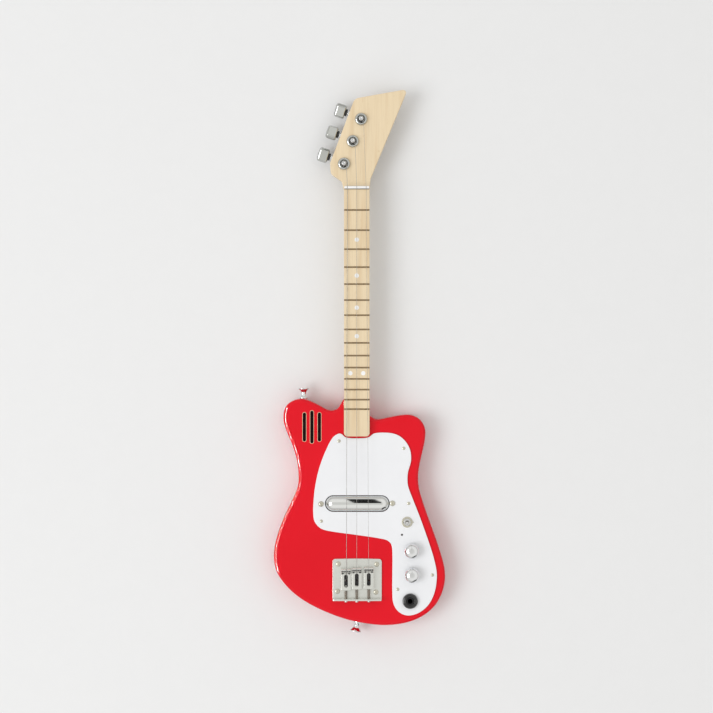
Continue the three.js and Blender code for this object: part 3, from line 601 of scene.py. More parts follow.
def make_body():
    speaker = centre("speaker_cover")
    outline = inset(smoothed(loops_of("body", ROUNDOVER)[0], 3), 0.09 * MM)
    blank = slab(outline, 0, BODY_TOP, ROUNDOVER, 9)
    above = BODY_TOP + 2 * MM
    under = -2 * MM
    gap = 0.3 * MM
    pocket = rounded_box((-NECK_HALF - gap, BOARD[0].y - gap), (NECK_HALF + gap, 0.262), 5.2 * MM)
    slots = [
        moved(slab(stadium((0, 0), length, 4.7 * MM), 30 * MM, above), place)
        for length, place in sound_slots(speaker)]
    pickup = centre("pickup_cover")
    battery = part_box("battery_box")
    tools = [
        slab(pocket, 22 * MM, above),
        slab(rounded_polygon(CONTROL_CAVITY), 5 * MM, above),
        slab(rounded_box((pickup.x - 56 * MM, pickup.y - 13.5 * MM),
                         (pickup.x + 56 * MM, pickup.y + 13.5 * MM), 10 * MM), 17 * MM, above),
        slab(grown_box(*battery, 0.3 * MM, 4 * MM), under, 2.7 * MM),
        slab(grown_box(*battery, -4.2 * MM, 2 * MM), under, 23.7 * MM),
        disc(speaker, 25.6, under, 3.2 * MM, 64),
        disc(speaker, 23.6, under, 31 * MM, 64),
        *slots,
    ]
    for x in STRING_X_AT_BRIDGE:
        tools.append(disc((x, STRING_HOLE_Y), 1.6, 5 * MM, above, 24))
        tools.append(disc((x, STRING_HOLE_Y), 3.4, under, 8 * MM, 32))
    for i in (1, 2, 3, 4):
        at = centre(f"neck_screw_{i}")
        tools.append(disc(at, 5.2, under, 3.6 * MM, 40))
        tools.append(disc(at, 2.6, under, 24 * MM, 24))
    body = combined(blank, tools)
    piece("guitar_body", body, "red_lacquer", stands_for=["body"], sharp=30)
    # A pale maple ring round each slot, flush with the top: a painted highlight along the slot's edge.
    for number, (length, place) in enumerate(sound_slots(speaker), 1):
        outer = stadium((0, 0), length + 0.9 * MM, 5.6 * MM)
        inner = stadium((0, 0), length - 0.1 * MM, 4.6 * MM)
        rim = slab(outer, BODY_TOP - 0.3 * MM, BODY_TOP + 0.12 * MM, 0.1 * MM, 1)
        ring = combined(rim, [slab(inner, BODY_TOP - MM, above)])
        piece(f"slot_edge_highlight_{number}", moved(ring, place), "maple")
    # A black disc just under the slots: painted shade in the speaker chamber seen through them.
    shade_disc = disc(speaker, 23.2, 30.3 * MM, 30.9 * MM, 64)
    piece("speaker_shade_disc", shade_disc, "cone_paper")


# ------------------------------------------------------------------ neck
def neck_section(y):
    """Half-width, depth below the sides, squareness and height of the sides, along the neck."""
    heel = BOARD[0].y
    half = NECK_HALF
    corner = 5 * MM
    if y < heel + corner:
        half += math.sqrt(max(0, corner**2 - (heel + corner - y) ** 2)) - corner
    heel_end, shaft_start = heel + 57 * MM, heel + 76 * MM
    share = min(1, max(0, (y - heel_end) / (shaft_start - heel_end)))
    share = share * share * (3 - 2 * share)
    squareness = 14 * (1 - share) + 2.2 * share
    depth = (BODY_TOP - 22.3 * MM) * (1 - share) + 13 * MM * share
    throat = min(1, max(0, (y - 0.500) / 0.026))
    throat = throat * throat * (3 - 2 * throat)
    squareness = squareness * (1 - throat) + 9 * throat
    top = NECK_TOP
    if y > 0.524:
        top -= (NECK_TOP - HEADSTOCK_FACE + 0.2 * MM) * min(1, (y - 0.524) / 0.008)
    return half, depth, squareness, top


def make_neck():
    rings = []
    heel = BOARD[0].y
    stations = [heel + 5 * MM * (1 - math.cos(k * math.pi / 16)) for k in range(9)]
    stations += [heel + (10 + 4 * k) * MM for k in range(20)]
    stations += [0.28 + 0.02 * k for k in range(12)]
    stations += [0.504 + 0.002 * k for k in range(16)]
    for y in stations:
        half, depth, squareness, top = neck_section(y)
        side = min(BODY_TOP, top - 0.5 * MM)
        ring = [Vector((half, y, top)), Vector((-half, y, top))]
        steps = 36
        for k in range(steps + 1):
            angle = math.pi * k / steps
            c, s = math.cos(angle), math.sin(angle)
            x = -half * math.copysign(abs(c) ** (2 / squareness), c)
            z = side - (depth - (BODY_TOP - side)) * abs(s) ** (2 / squareness)
            ring.append(Vector((x, y, z)))
        rings.append(ring)
    shaft = skin(rings)
    head = slab(rounded_polygon(HEADSTOCK_CORNERS, 12), HEADSTOCK_BACK, HEADSTOCK_FACE, 1.1 * MM, 4)
    neck = combined(shaft, [head], "UNION")
    holes = []
    for i in (1, 2, 3):
        holes.append(disc(centre(f"tuner_post_{i}"), 5, 20 * MM, 45 * MM, 40))
    for i in (1, 2, 3, 4):
        holes.append(disc(centre(f"neck_screw_{i}"), 2.6, 20 * MM, 37 * MM, 24))
    piece("neck_blank", combined(neck, holes), "maple", stands_for=["neck"], sharp=42)


def make_fretboard():
    low, high = BOARD
    outline = rounded_polygon((
        (low.x / MM, low.y / MM, 5), (high.x / MM, low.y / MM, 5),
        (high.x / MM, high.y / MM, 0.3), (low.x / MM, high.y / MM, 0.3)), 10)
    board = slab(outline, NECK_TOP, high.z, 0.7 * MM, 4, low_edge=0)
    piece("fingerboard", board, "maple", stands_for=["fretboard"])
    dots = ((1, 0, 3), (2, 0, 5), (3, 0, 7), (4, 0, 9), (6, -8.8 * MM, 12), (7, 8.8 * MM, 12))
    for index, x, fret in dots:
        y = (fret_y(fret) + fret_y(fret - 1)) / 2
        dot = turned([(0, high.z - 1 * MM), (3 * MM, high.z - 1 * MM), (3 * MM, high.z + 0.05 * MM),
                      (0, high.z + 0.05 * MM)], 40, 0.05 * MM)
        piece(f"face_dot_{index}", moved(dot, over((x, y))), "white_plastic", finish=PEARL)
    for index, fret in enumerate((3, 5, 7, 9, 12, 15), 1):
        y = (fret_y(fret) + fret_y(fret - 1)) / 2
        dot = turned(mm((0, -1), (1, -1), (1, 0.05), (0, 0.05)), 20)
        at = towards((-1, 0, 0), (low.x, y, high.z - 2.6 * MM))
        piece(f"side_dot_{index}", moved(dot, at), "black_plastic")


def fret_y(number):
    return SCALE_LENGTH * 2 ** (-number / 12)


def make_frets():
    """Each fret is a domed bar with bevelled ends on a thin tang."""
    top = BOARD[1].z
    half = NECK_HALF - 0.15 * MM
    for fret in range(1, FRET_COUNT + 1):
        rings = []
        for x, lift in ((-half, 0.35), (0.5 * MM - half, 0.8), (1.1 * MM - half, 1.0),
                        (half - 1.1 * MM, 1.0), (half - 0.5 * MM, 0.8), (half, 0.35)):
            ring = [Vector((x, 1.1 * MM, top - 0.15 * MM)), Vector((x, -1.1 * MM, top - 0.15 * MM))]
            for k in range(11):
                angle = math.pi * (1 - k / 10)
                ring.append(Vector((x, 1.1 * MM * math.cos(angle), top + math.sin(angle) * lift * MM)))
            rings.append(ring)
        tang = slab(rounded_box((-NECK_HALF - 0.04 * MM, -0.25 * MM), (NECK_HALF + 0.04 * MM, 0.25 * MM),
                                0.05 * MM), top - 2.2 * MM, top - 0.05 * MM)
        bar = moved(merged(skin(rings), tang), Matrix.Translation((0, fret_y(fret), 0)))
        covers = ["frets"] if fret == 1 else ()
        piece(f"fret_{fret}", bar, "fret_wire", stands_for=covers, sharp=50)


def make_nut():
    low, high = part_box("nut")
    rings = []
    for x in (low.x, low.x + 0.5 * MM, high.x - 0.5 * MM, high.x):
        end = x in (low.x, high.x)
        edge = 0.4 * MM if end else 0
        profile = [(low.y + edge, NECK_TOP), (high.y - edge, NECK_TOP),
                   (high.y - edge, high.z - 1.1 * MM - edge)]
        for k in range(7):
            angle = math.pi / 2 * k / 6
            reach = (high.y - low.y) - 2 * edge
            profile.append((high.y - edge - reach * (1 - math.cos(angle)) * 0.85,
                            high.z - edge - 1.1 * MM + 1.1 * MM * math.sin(angle)))
        profile.append((low.y + edge, high.z - edge - 0.1 * MM))
        rings.append([Vector((x, y, z)) for y, z in profile])
    slots = [
        slab(rounded_box((x - 0.45 * MM, 0.51), (x + 0.45 * MM, 0.53), 0.1 * MM),
             STRING_AT_NUT - 0.35 * MM, STRING_AT_NUT + 3 * MM) for x in STRING_X_AT_NUT]
    piece("string_nut", combined(skin(rings), slots), "white_plastic", stands_for=["nut"], finish=PEARL)


# ------------------------------------------------------------------ screws
def screw_head(radius, height):
    """A domed head above Z 0 with a cross recess, its radius and height in millimetres."""
    radius, height = radius * MM, height * MM
    profile = [(0, -0.4 * MM), (radius, -0.4 * MM), (radius, 0.2 * height)]
    for k in range(1, 8):
        angle = math.pi / 2 * k / 8
        profile.append((radius * math.cos(angle), height * (0.2 + 0.8 * math.sin(angle))))
    head = turned([*profile, (0, height)], 40)
    wide, thin = 0.55 * radius, 0.13 * radius
    arms = [
        slab(rounded_box((-x, -y), (x, y), 0.2 * thin), 0.45 * height, 2 * height)
        for x, y in ((wide, thin), (thin, wide))]
    return combined(head, arms)


def make_plate_screws():
    for index, (x, y) in enumerate(GUARD_SCREWS, 1):
        at = towards(UP, (x * MM, y * MM, GUARD[1].z), 0.7 * index)
        head = moved(screw_head(2.3, 0.9), at)
        piece(f"guard_screw_{index}", head, "steel", finish=WARM_NICKEL)
    for index, (x, y) in enumerate(BRIDGE_SCREWS, 1):
        at = towards(UP, (x * MM, y * MM, BRIDGE_TOP), 0.9 * index)
        head = moved(screw_head(3.5, 1.7), at)
        piece(f"bridge_screw_{index}", head, "steel", finish=WARM_NICKEL)
    for i in (1, 2, 3, 4):
        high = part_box(f"neck_screw_{i}")[1]
        at = centre(f"neck_screw_{i}")
        head = moved(screw_head(4.1, 1.7), towards(DOWN, (at.x, at.y, 2.6 * MM), 0.8 * i))
        shank = turned([(0, 2.9 * MM), (2.1 * MM, 2.9 * MM), (2.1 * MM, high.z - 2 * MM), (0, high.z)], 24)
        screw = merged(head, moved(shank, over(at)))
        piece(f"neck_bolt_{i}", screw, "steel", stands_for=[f"neck_screw_{i}"])
        cup = mm((4.3, 0.35), (5.1, 0.35), (5.1, 3.4), (3, 3.4), (3, 2.9), (4.3, 2.4))
        ferrule = turned(cup, 48, 0.2 * MM, True)
        piece(f"neck_ferrule_{i}", moved(ferrule, over(at)), "chrome")


# ------------------------------------------------------------------ pickguard and its fittings
def make_pickguard():
    low, high = GUARD
    outline = smoothed(loops_of("pickguard", low.z)[0], 3)
    sheet = slab(outline, BODY_TOP + 0.02 * MM, high.z, 0.55 * MM, 3, low_edge=0)
    pickup = centre("pickup_cover")
    tools = [slab(stadium(pickup, 88.8 * MM, 22.8 * MM, 24), low.z - MM, high.z + MM)]
    for node, radius in (("power_led", 1.5), ("toggle_lever", 3.3), ("volume_knob", 3.8),
                         ("tone_knob", 3.8), ("jack_nut", 5.4), ("pickup_screw_bass", 1.9),
                         ("pickup_screw_treble", 1.9)):
        tools.append(slab(circle(centre(node), radius * MM), low.z - MM, high.z + MM))
    piece("guard_sheet", combined(sheet, tools), "white_plastic", stands_for=["pickguard"])


def make_pickup():
    """The upper half of a plated tube with round ends, and the two screws that hold it."""
    low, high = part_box("pickup_cover")
    middle = centre("pickup_cover")
    length, width = high.x - low.x, high.y - low.y
    rise = 10 * MM
    rings = [[Vector((*p, high.z - rise - 2.8 * MM)) for p in stadium(middle, length, width, 32)]]
    for k in range(32):
        angle = math.pi / 2 * k / 32
        shrink = width * (1 - math.cos(angle))
        outline = stadium(middle, length - shrink, width - shrink, 32)
        rings.append([Vector((*p, high.z - rise * (1 - math.sin(angle)))) for p in outline])
    piece("pickup_shell", skin(rings), "chrome", "pickup", ["pickup_cover"], MIRROR_CHROME, sharp=50)
    for side in ("bass", "treble"):
        node = f"pickup_screw_{side}"
        low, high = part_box(node)
        at = centre(node)
        head = moved(screw_head(3.8, 2.2), towards(UP, (at.x, at.y, GUARD[1].z + 0.1 * MM), 0.5))
        shank = turned([(0, low.z), (1.4 * MM, low.z + MM), (1.4 * MM, GUARD[1].z), (0, GUARD[1].z)], 20)
        screw = merged(head, moved(shank, over(at)))
        piece(f"pickup_bolt_{side}", screw, "steel", f"{node}_body", [node], finish=WARM_NICKEL)


def make_toggle():
    at = centre("toggle_lever")
    place = over(at)
    top = GUARD[1].z
    washer = slab(circle((0, 0), 7.5 * MM, 64), top, top + 0.8 * MM, 0.25 * MM, 2)
    tab = slab(rounded_polygon(((6.6, -1.6, 0), (9.9, 0, 0.8), (6.6, 1.6, 0))), top, top + 0.8 * MM)
    bore = disc((0, 0), 3.1, top - MM, top + 2 * MM, 40)
    ring = combined(combined(washer, [tab], "UNION"), [bore])
    piece("toggle_washer", moved(ring, place), "steel", finish=WARM_NICKEL)
    hexagon = slab(circle((0, 0), 5.4 * MM, 6), top + 0.8 * MM, 43.1 * MM, 0.3 * MM, 2)
    cone = turned([(0, top - MM), (5.4 * MM, top - MM), *mm((5.4, 42.3), (4.4, 43.2), (0, 43.2))])
    nut = combined(combined(hexagon, [cone], "INTERSECT"), [disc((0, 0), 2.95, top, 45 * MM, 40)])
    piece("toggle_ring_nut", moved(nut, place), "chrome", stands_for=["toggle_nut"])
    bushing = turned(mm((2.1, 38), (2.9, 38), (2.9, 43.7), (2.6, 44), (2.1, 44)), 40, 0.15 * MM, True)
    piece("toggle_bushing", moved(bushing, place), "steel", finish=FINISHES["black_gloss"])
    low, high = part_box("toggle_lever")
    lever = turned([(0, low.z), (1.2 * MM, low.z + 0.5 * MM), (1.5 * MM, 42 * MM), (1.3 * MM, 42.9 * MM),
                    (0.9 * MM, 43.6 * MM), (1 * MM, 45 * MM), (1.3 * MM, 48 * MM), (1.7 * MM, 51.4 * MM),
                    (1.5 * MM, 52.6 * MM), (0.9 * MM, 53.1 * MM), (0, high.z)], 40, 0.5 * MM)
    piece("toggle_bat", moved(lever, place), "chrome", "toggle", ["toggle_lever"])


def make_led():
    low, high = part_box("power_led")
    lens = turned([(0, low.z), (2.5 * MM, low.z), (2.5 * MM, 37.6 * MM), (1.25 * MM, 37.6 * MM),
                   (1.25 * MM, 40.6 * MM), (0.9 * MM, 41.2 * MM), (0, high.z)], 32, 0.3 * MM)
    piece("led_lens", moved(lens, over(centre("power_led"))), "led_lens",
          stands_for=["power_led"])


def make_knobs():
    for name in ("volume", "tone"):
        low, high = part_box(f"{name}_knob")
        at = centre(f"{name}_knob")
        radius = (high.x - low.x) / 2
        foot = low.z
        top = high.z
        shoulder = foot + 8.4 * MM
        profile = [(6.5 * MM, foot + 4.7 * MM), (6.5 * MM, foot), (radius - 0.3 * MM, foot),
                   (radius, foot + 0.3 * MM), (radius, shoulder)]
        for k in range(1, 20):
            angle = math.pi / 2 * k / 20
            across, up = math.cos(angle) ** 0.78, math.sin(angle) ** 0.78
            profile.append((radius * across, shoulder + (top - shoulder) * up))
        outside = turned([(0, foot + 5 * MM), *profile, (0, top)], 72)
        piece(f"{name}_dome", moved(outside, over(at)), "chrome",
              f"{name}_control", [f"{name}_knob"], sharp=45)


def make_jack():
    at = centre("jack_nut")
    place = over(at)
    top = GUARD[1].z
    rim = mm((10.5, 43.2), (9.7, 44.9), (8.3, 45.3), (7.9, 44.9),
             (7.2, 44.9), (6.9, 45.3), (5.9, 45.3), (5.2, 44.6))
    nut = turned([(5.2 * MM, top), (10.5 * MM, top), *rim], 80, 0.25 * MM, True)
    piece("jack_ring_nut", moved(nut, place), "black_gloss", stands_for=["jack_nut"])
    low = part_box("jack_socket")[0]
    barrel = turned([
        (3.4 * MM, low.z), (7.4 * MM, low.z), (7.4 * MM, 37.6 * MM), (5 * MM, 37.6 * MM), (5 * MM, 44.3 * MM),
        (4.6 * MM, 44.8 * MM), (4.2 * MM, 44.8 * MM), (3.4 * MM, 43.6 * MM)], 56, 0.15 * MM, True)
    piece("jack_barrel", moved(barrel, place), "steel", stands_for=["jack_socket"],
          finish=FINISHES["black_plastic"])


# ------------------------------------------------------------------ bridge
def make_bridge_plate():
    low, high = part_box("bridge_plate")
    floor = BODY_TOP + 0.02 * MM
    x0, x1, y0, y1 = low.x, high.x, low.y, high.y
    outline = [Vector((x0, y0)), Vector((x1, y0))]
    arch = 0.5 * MM
    front = y1 - arch
    corner = 4 * MM
    for k in range(9):
        angle = math.pi / 2 * k / 8
        across, up = corner * math.cos(angle), corner * math.sin(angle)
        outline.append(Vector((x1 - corner + across, front - corner + up)))
    for k in range(1, 20):
        share = k / 20
        x = (x1 - corner) * (1 - share) + (x0 + corner) * share
        outline.append(Vector((x, front + arch * math.sin(math.pi * share))))
    for k in range(9):
        angle = math.pi / 2 * (1 + k / 8)
        across, up = corner * math.cos(angle), corner * math.sin(angle)
        outline.append(Vector((x0 + corner + across, front - corner + up)))
    plate = slab(outline, floor, BRIDGE_TOP, 0.5 * MM, 3, low_edge=0)
    wall = rounded_polygon(((x0 / MM, floor / MM, 0), (x1 / MM, floor / MM, 0),
                            (x1 / MM, high.z / MM, 2.5), (x0 / MM, high.z / MM, 2.5)))
    flange = slab(wall, 0, 2.4 * MM, 0.5 * MM, 3)
    flange.transform(Matrix(((1, 0, 0, 0), (0, 0, -1, y0 + 2.4 * MM), (0, 1, 0, 0), (0, 0, 0, 1))))
    blank = combined(plate, [flange], "UNION")
    tools = []
    for i in (1, 2, 3):
        at = centre(f"intonation_screw_{i}")
        bore = disc((0, 0), 1.6, -10 * MM, 10 * MM, 32)
        tools.append(moved(bore, towards(ALONG, (at.x, y0, at.z))))
    for x in STRING_X_AT_BRIDGE:
        tools.append(disc((x, STRING_HOLE_Y), 1.7, floor - MM, BRIDGE_TOP + MM, 32))
    piece("bridge_base", combined(blank, tools), "chrome", stands_for=["bridge_plate"], finish=SATIN_CHROME)


def make_saddle_block(i, low, high, middle):
    """A block with a rounded crown, a long window, a string groove and its screw holes."""
    top = 45.5 * MM
    front, back = high.y, low.y
    profile = [(back, low.z), (front, low.z), (front, high.z - 2.4 * MM),
               (front - 0.5 * MM, high.z - 0.5 * MM), (front - 1.3 * MM, high.z),
               (front - 2 * MM, high.z - 0.5 * MM), (front - 8 * MM, top),
               (back + 0.8 * MM, top), (back, top - 0.8 * MM)]
    line = [p / MM for p in softened([*profile, profile[0]], 0.6 * MM)[1:-1]]
    side = [Vector((p[0], p[1])) * MM for p in line]
    block = slab(side, -(high.x - low.x) / 2, (high.x - low.x) / 2, 0.5 * MM, 3)
    block.transform(Matrix(((0, 0, 1, middle), (1, 0, 0, 0), (0, 1, 0, 0), (0, 0, 0, 1))))
    window = slab(stadium((0, 0), 17.7 * MM, 5.4 * MM), low.z - MM, high.z + MM)
    tools = [moved(window, towards(UP, (middle, front - 17 * MM, 0), math.pi / 2))]
    for offset in GRUB_OFFSETS:
        tools.append(disc((middle + offset, front - 6.6 * MM), 1.35, low.z - MM, high.z + MM, 28))
    groove = disc((0, 0), 0.7, -20 * MM, 20 * MM, 16)
    groove_at = (STRING_X_AT_BRIDGE[i - 1], front, high.z + 0.5 * MM)
    tools.append(moved(groove, towards((0, 1, -0.1), groove_at)))
    screw_at = centre(f"intonation_screw_{i}")
    bore = disc((0, 0), 1.55, 0, 12 * MM, 32)
    tools.append(moved(bore, towards(ALONG, (screw_at.x, back - 4 * MM, screw_at.z))))
    piece(f"saddle_block_{i}", combined(block, tools), "chrome", f"saddle_{i}_block", [f"saddle_{i}"],
          finish=SATIN_CHROME)


def make_saddle_fittings(i, front, crown, middle):
    """The black strip under the window, painted shade in it; two grub screws; and black teeth below the crown,
    painted shade there.
    """
    body = f"saddle_{i}_block"
    # A black strip under each saddle window: painted shade seen through the window.
    window_shade_strip = slab(stadium((0, 0), 17.2 * MM, 5 * MM), 40.32 * MM, 40.5 * MM)
    pass_hole = disc((middle, STRING_HOLE_Y), 1.4, 40 * MM, 41 * MM, 24)
    window_shade_strip = moved(window_shade_strip, towards(UP, (middle, front - 17 * MM, 0), math.pi / 2))
    piece(f"bridge_window_shade_{i}", combined(window_shade_strip, [pass_hole]), "black_plastic")
    for k, offset in enumerate(GRUB_OFFSETS, 1):
        socket = disc((0, 0), 0.65, 43 * MM, 46 * MM, 6)
        grub = combined(disc((0, 0), 1.3, 40.35 * MM, 44.2 * MM, 28, edge=0.15 * MM, steps=2), [socket])
        at = (middle + offset, front - 6.6 * MM)
        piece(f"saddle_grub_{i}_{k}", moved(grub, over(at)), "black_gloss", body)
    # Five black teeth on the slope below the crown: painted shade, set where dark notches show.
    shade_teeth = []
    for k in range(-2, 3):
        x = k * 2.5 * MM
        tooth = rounded_box((x - 0.9 * MM, -0.9 * MM), (x + 0.9 * MM, 0.9 * MM), 0.3 * MM)
        shade_teeth.append(slab(tooth, -0.6 * MM, 0.08 * MM, 0.06 * MM, 1))
    slope = Matrix.Rotation(math.radians(15), 4, "X")
    at = Matrix.Translation((middle, front - 3.6 * MM, crown - 1.3 * MM)) @ slope
    piece(f"saddle_crown_shade_{i}", moved(merged(*shade_teeth), at), "black_gloss", body)


def make_saddles():
    for i in (1, 2, 3):
        low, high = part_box(f"saddle_{i}")
        middle = (low.x + high.x) / 2
        make_saddle_block(i, low, high, middle)
        make_saddle_fittings(i, high.y, high.z, middle)


def make_intonation():
    for i in (1, 2, 3):
        low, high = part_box(f"intonation_screw_{i}")
        at = centre(f"intonation_screw_{i}")
        profile = [(0, 0), (1.9 * MM, 0), (2.25 * MM, 0.4 * MM), (2.25 * MM, 2 * MM), (1.4 * MM, 2 * MM)]
        z = 4.5 * MM
        length = high.y - low.y
        while z < length - MM:
            profile += [(1.22 * MM, z), (1.4 * MM, z + 0.25 * MM)]
            z += 0.5 * MM
        screw = turned([*profile, (1.1 * MM, length - 0.4 * MM), (0, length)], 28)
        slot = slab(rounded_box((-3 * MM, -0.4 * MM), (3 * MM, 0.4 * MM), 0.05 * MM), -MM, 0.8 * MM)
        made = moved(combined(screw, [slot]), towards(ALONG, (at.x, low.y, at.z), 0.4 * i))
        piece(f"intonation_bolt_{i}", made, "steel", f"intonation_{i}", [f"intonation_screw_{i}"])
        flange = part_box("bridge_plate")[0].y + 2.5 * MM
        saddle_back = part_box(f"saddle_{i}")[0].y
        turns = 6 + i // 3
        path = []
        for k in range(turns * 16 + 1):
            share = k / (turns * 16)
            angle = 2 * math.pi * turns * share
            path.append((at.x + 1.95 * MM * math.cos(angle), flange + (saddle_back - flange) * share,
                         at.z + 1.95 * MM * math.sin(angle)))
        blend = ("root", f"saddle_{i}_block", (at.x, flange, at.z), (at.x, saddle_back, at.z))
        piece(f"intonation_spring_{i}", tube(path, 0.3 * MM, 8), "steel", finish=SPRING_WIRE, blend=blend)


# ------------------------------------------------------------------ strings
def make_strings():
    for i, radius in enumerate(STRING_RADII, 1):
        post = centre(f"tuner_post_{i}")
        body = f"saddle_{i}_block"
        touch = Vector((post.x + POST_RADIUS + radius, post.y, STRING_AT_POST))
        nut = Vector((STRING_X_AT_NUT[i - 1], NUT_MIDDLE, STRING_AT_NUT))
        x = STRING_X_AT_BRIDGE[i - 1]
        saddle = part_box(f"saddle_{i}")[1]
        crown = Vector((x, saddle.y - 1.3 * MM, saddle.z + radius - 0.15 * MM))
        hole = Vector((x, STRING_HOLE_Y, 40.3 * MM))
        path = [touch, touch.lerp(nut, 0.5), nut.lerp(touch, 0.03), nut, nut.lerp(crown, 0.004)]
        path += [nut.lerp(crown, k / 24) for k in range(1, 24)] + [crown]
        start = Vector((x, 0.06, STRING_AT_SADDLE))
        wire = tube(path, radius, 12)
        piece(f"string_wire_{i}", wire, "string_steel", stands_for=[f"string_{i}"], sharp=80,
              blend=("root", body, start, crown))
        tail = [crown, crown.lerp(hole, 0.15), crown.lerp(hole, 0.5), crown.lerp(hole, 0.9), hole,
                Vector((x, STRING_HOLE_Y, 38 * MM)), Vector((x, STRING_HOLE_Y, 5 * MM))]
        piece(f"string_tail_{i}", tube(tail, radius, 12), "string_steel", sharp=80,
              blend=("root", body, Vector((x, STRING_HOLE_Y, crown.z)), crown))
        coil = []
        for k in range(3 * 20 + 1):
            angle = 2 * math.pi * k / 20
            coil.append((post.x + (POST_RADIUS - 0.35 * MM + radius) * math.cos(angle),
                         post.y + (POST_RADIUS - 0.35 * MM + radius) * math.sin(angle),
                         STRING_AT_POST - 0.7 * MM + 2 * radius * k / 20))
        piece(f"string_winding_{i}", tube(coil, radius, 8), "string_steel", f"tuner_spindle_{i}", sharp=80)
        cup = mm((2, 0.4), (3.3, 0.4), (3.3, 7.8), (1.2, 7.8), (1.2, 6.6), (2, 6))
        ferrule = turned(cup, 40, 0.25 * MM, True)
        piece(f"string_ferrule_{i}", moved(ferrule, over((x, STRING_HOLE_Y))), "chrome")
        ball = turned(mm((0, 3), (1.2, 3), (1.8, 3.6), (1.8, 5.4), (1.2, 6), (0, 6)), 28, 0.3 * MM)
        piece(f"string_ball_{i}", moved(ball, over((x, STRING_HOLE_Y))), "steel", finish=WARM_NICKEL)


# ------------------------------------------------------------------ tuners
def make_tuner_case(i, place):
    """A soft-edged hollow case with the collar that the button shaft comes out of."""
    plan = rounded_polygon(((-8.5, -9.5, 4), (13.5, -9.5, 3), (13.5, 7.5, 3), (-8.5, 7.5, 4)))
    shell = slab(plan, 13 * MM, HEADSTOCK_BACK - 0.05 * MM, 1.6 * MM, 4, low_edge=1.6 * MM)
    hollow = slab(rounded_box((-5.2 * MM, -7.4 * MM), (5.6 * MM, 4.6 * MM), 0.5 * MM), 15 * MM, 30 * MM)
    collar = turned(mm((0, 0), (3.4, 0), (3.4, 8.6), (0, 8.6)), 40, 0.5 * MM)
    collar = moved(collar, towards(ACROSS, (12.6 * MM, WORM_OFFSET, WORM_HEIGHT)))
    bore = disc((0, 0), 1.95, 0, 25 * MM, 32)
    bore = moved(bore, towards(ACROSS, (4 * MM, WORM_OFFSET, WORM_HEIGHT)))
    housing = combined(combined(shell, [collar], "UNION"), [hollow, bore])
    piece(f"tuner_case_{i}", moved(housing, place), "chrome", stands_for=[f"tuner_housing_{i}"])
    cap = moved(screw_head(1.9, 0.7), place @ towards(DOWN, (-5.8 * MM, 4.8 * MM, 13 * MM), 0.6))
    piece(f"tuner_case_screw_{i}", cap, "steel")


def make_tuner_dress_nut(i, place):
    ring = [(4.2, 30), (4.9, 30), (4.9, 38.95), (8.75, 38.95), (8.75, 39.5)]
    for k in range(1, 8):
        a = math.pi / 2 * k / 8
        ring.append((6.6 + 2.15 * math.cos(a), 39.5 + 3.6 * math.sin(a)))
    ring += [(6.4, 43.2), (5.8, 43.2), (5.3, 42.8), (5.1, 40.6), (4.2, 40)]
    bushing = moved(turned(mm(*ring), 72, 0.1 * MM, True), place)
    piece(f"tuner_dress_nut_{i}", bushing, "chrome", stands_for=[f"tuner_bushing_{i}"],
          finish=BUTTON_CHROME)


def make_tuner_post(i, place):
    """A waisted post with an eye for the string, on its gear wheel."""
    profile = mm(
        (0, 15.5), (2.3, 15.5), (2.3, 22.4), (3, 23), (3, 44.4), (2.6, 45), (2.6, 47), (3, 47.6),
        (3, 49.5), (2.6, 50), (1.2, 50), (0.9, 49.3), (0, 49.2))
    post = turned(profile, 48, 0.2 * MM)
    eye = moved(disc((0, 0), 0.75, -6 * MM, 6 * MM, 20), towards(ACROSS, (0, 0, STRING_AT_POST)))
    teeth = []
    for tooth in range(GEAR_TEETH):
        middle = (tooth + 0.5) * 2 * math.pi / GEAR_TEETH - math.pi / 2
        for offset, radius in ((-0.25, 2.75), (-0.13, 3.75), (0.13, 3.75), (0.25, 2.75)):
            a = middle + offset * 2 * math.pi / GEAR_TEETH
            teeth.append(Vector((radius * math.cos(a), radius * math.sin(a))) * MM)
    wheel = slab(teeth, 17 * MM, 21 * MM)
    post = combined(combined(post, [eye]), [wheel], "UNION")
    piece(f"tuner_spindle_post_{i}", moved(post, place), "steel", f"tuner_spindle_{i}", [f"tuner_post_{i}"],
          finish=FINISHES["chrome"])


def make_tuner_key(i, lie):
    """A six-sided button on its shaft, with a black collar under it whose black is painted shade on the shaft, and
    a screw in its end.
    """
    key = f"tuner_key_{i}"
    hexagon = rounded_polygon(
        ((-10.5, 0, 3), (-7, -5, 2), (7, -5, 2), (10.5, 0, 3), (7, 5, 2), (-7, 5, 2)), 5)
    knob = slab(hexagon, 24.2 * MM, 39.2 * MM, 3.6 * MM, 8, low_edge=2.4 * MM)
    spin = math.radians(BUTTON_TURNS[i - 1]) + math.pi / 2
    knob = moved(knob, lie @ Matrix.Rotation(-spin, 4, "Z"))
    piece(f"tuner_knob_{i}", knob, "chrome", key, [f"tuner_button_{i}"], BUTTON_CHROME, 28)
    # The black collar where the shaft leaves the case: painted shade on the shaft.
    collar = turned(mm((1.9, 21.9), (5, 21.9), (5, 24.1), (1.9, 24.1)), 40, 0.3 * MM, True)
    piece(f"tuner_shaft_shade_{i}", moved(collar, lie), "black_plastic", key)
    screw = moved(screw_head(2.2, 0.5), lie @ Matrix.Translation((0, 0, 39.0 * MM)))
    piece(f"tuner_knob_screw_{i}", screw, "steel", key)


def make_tuners():
    for i in (1, 2, 3):
        turn = joint(f"tuner_{i}_turn")
        along = Vector(turn["axis"])
        heading = Matrix.Rotation(math.atan2(along.y, along.x), 4, "Z")
        place = over(centre(f"tuner_post_{i}")) @ heading
        lie = Matrix.Translation(Vector(turn["pos_m"])) @ heading @ Matrix.Rotation(math.pi / 2, 4, "Y")
        make_tuner_case(i, place)
        make_tuner_dress_nut(i, place)
        make_tuner_post(i, place)
        make_tuner_key(i, lie)


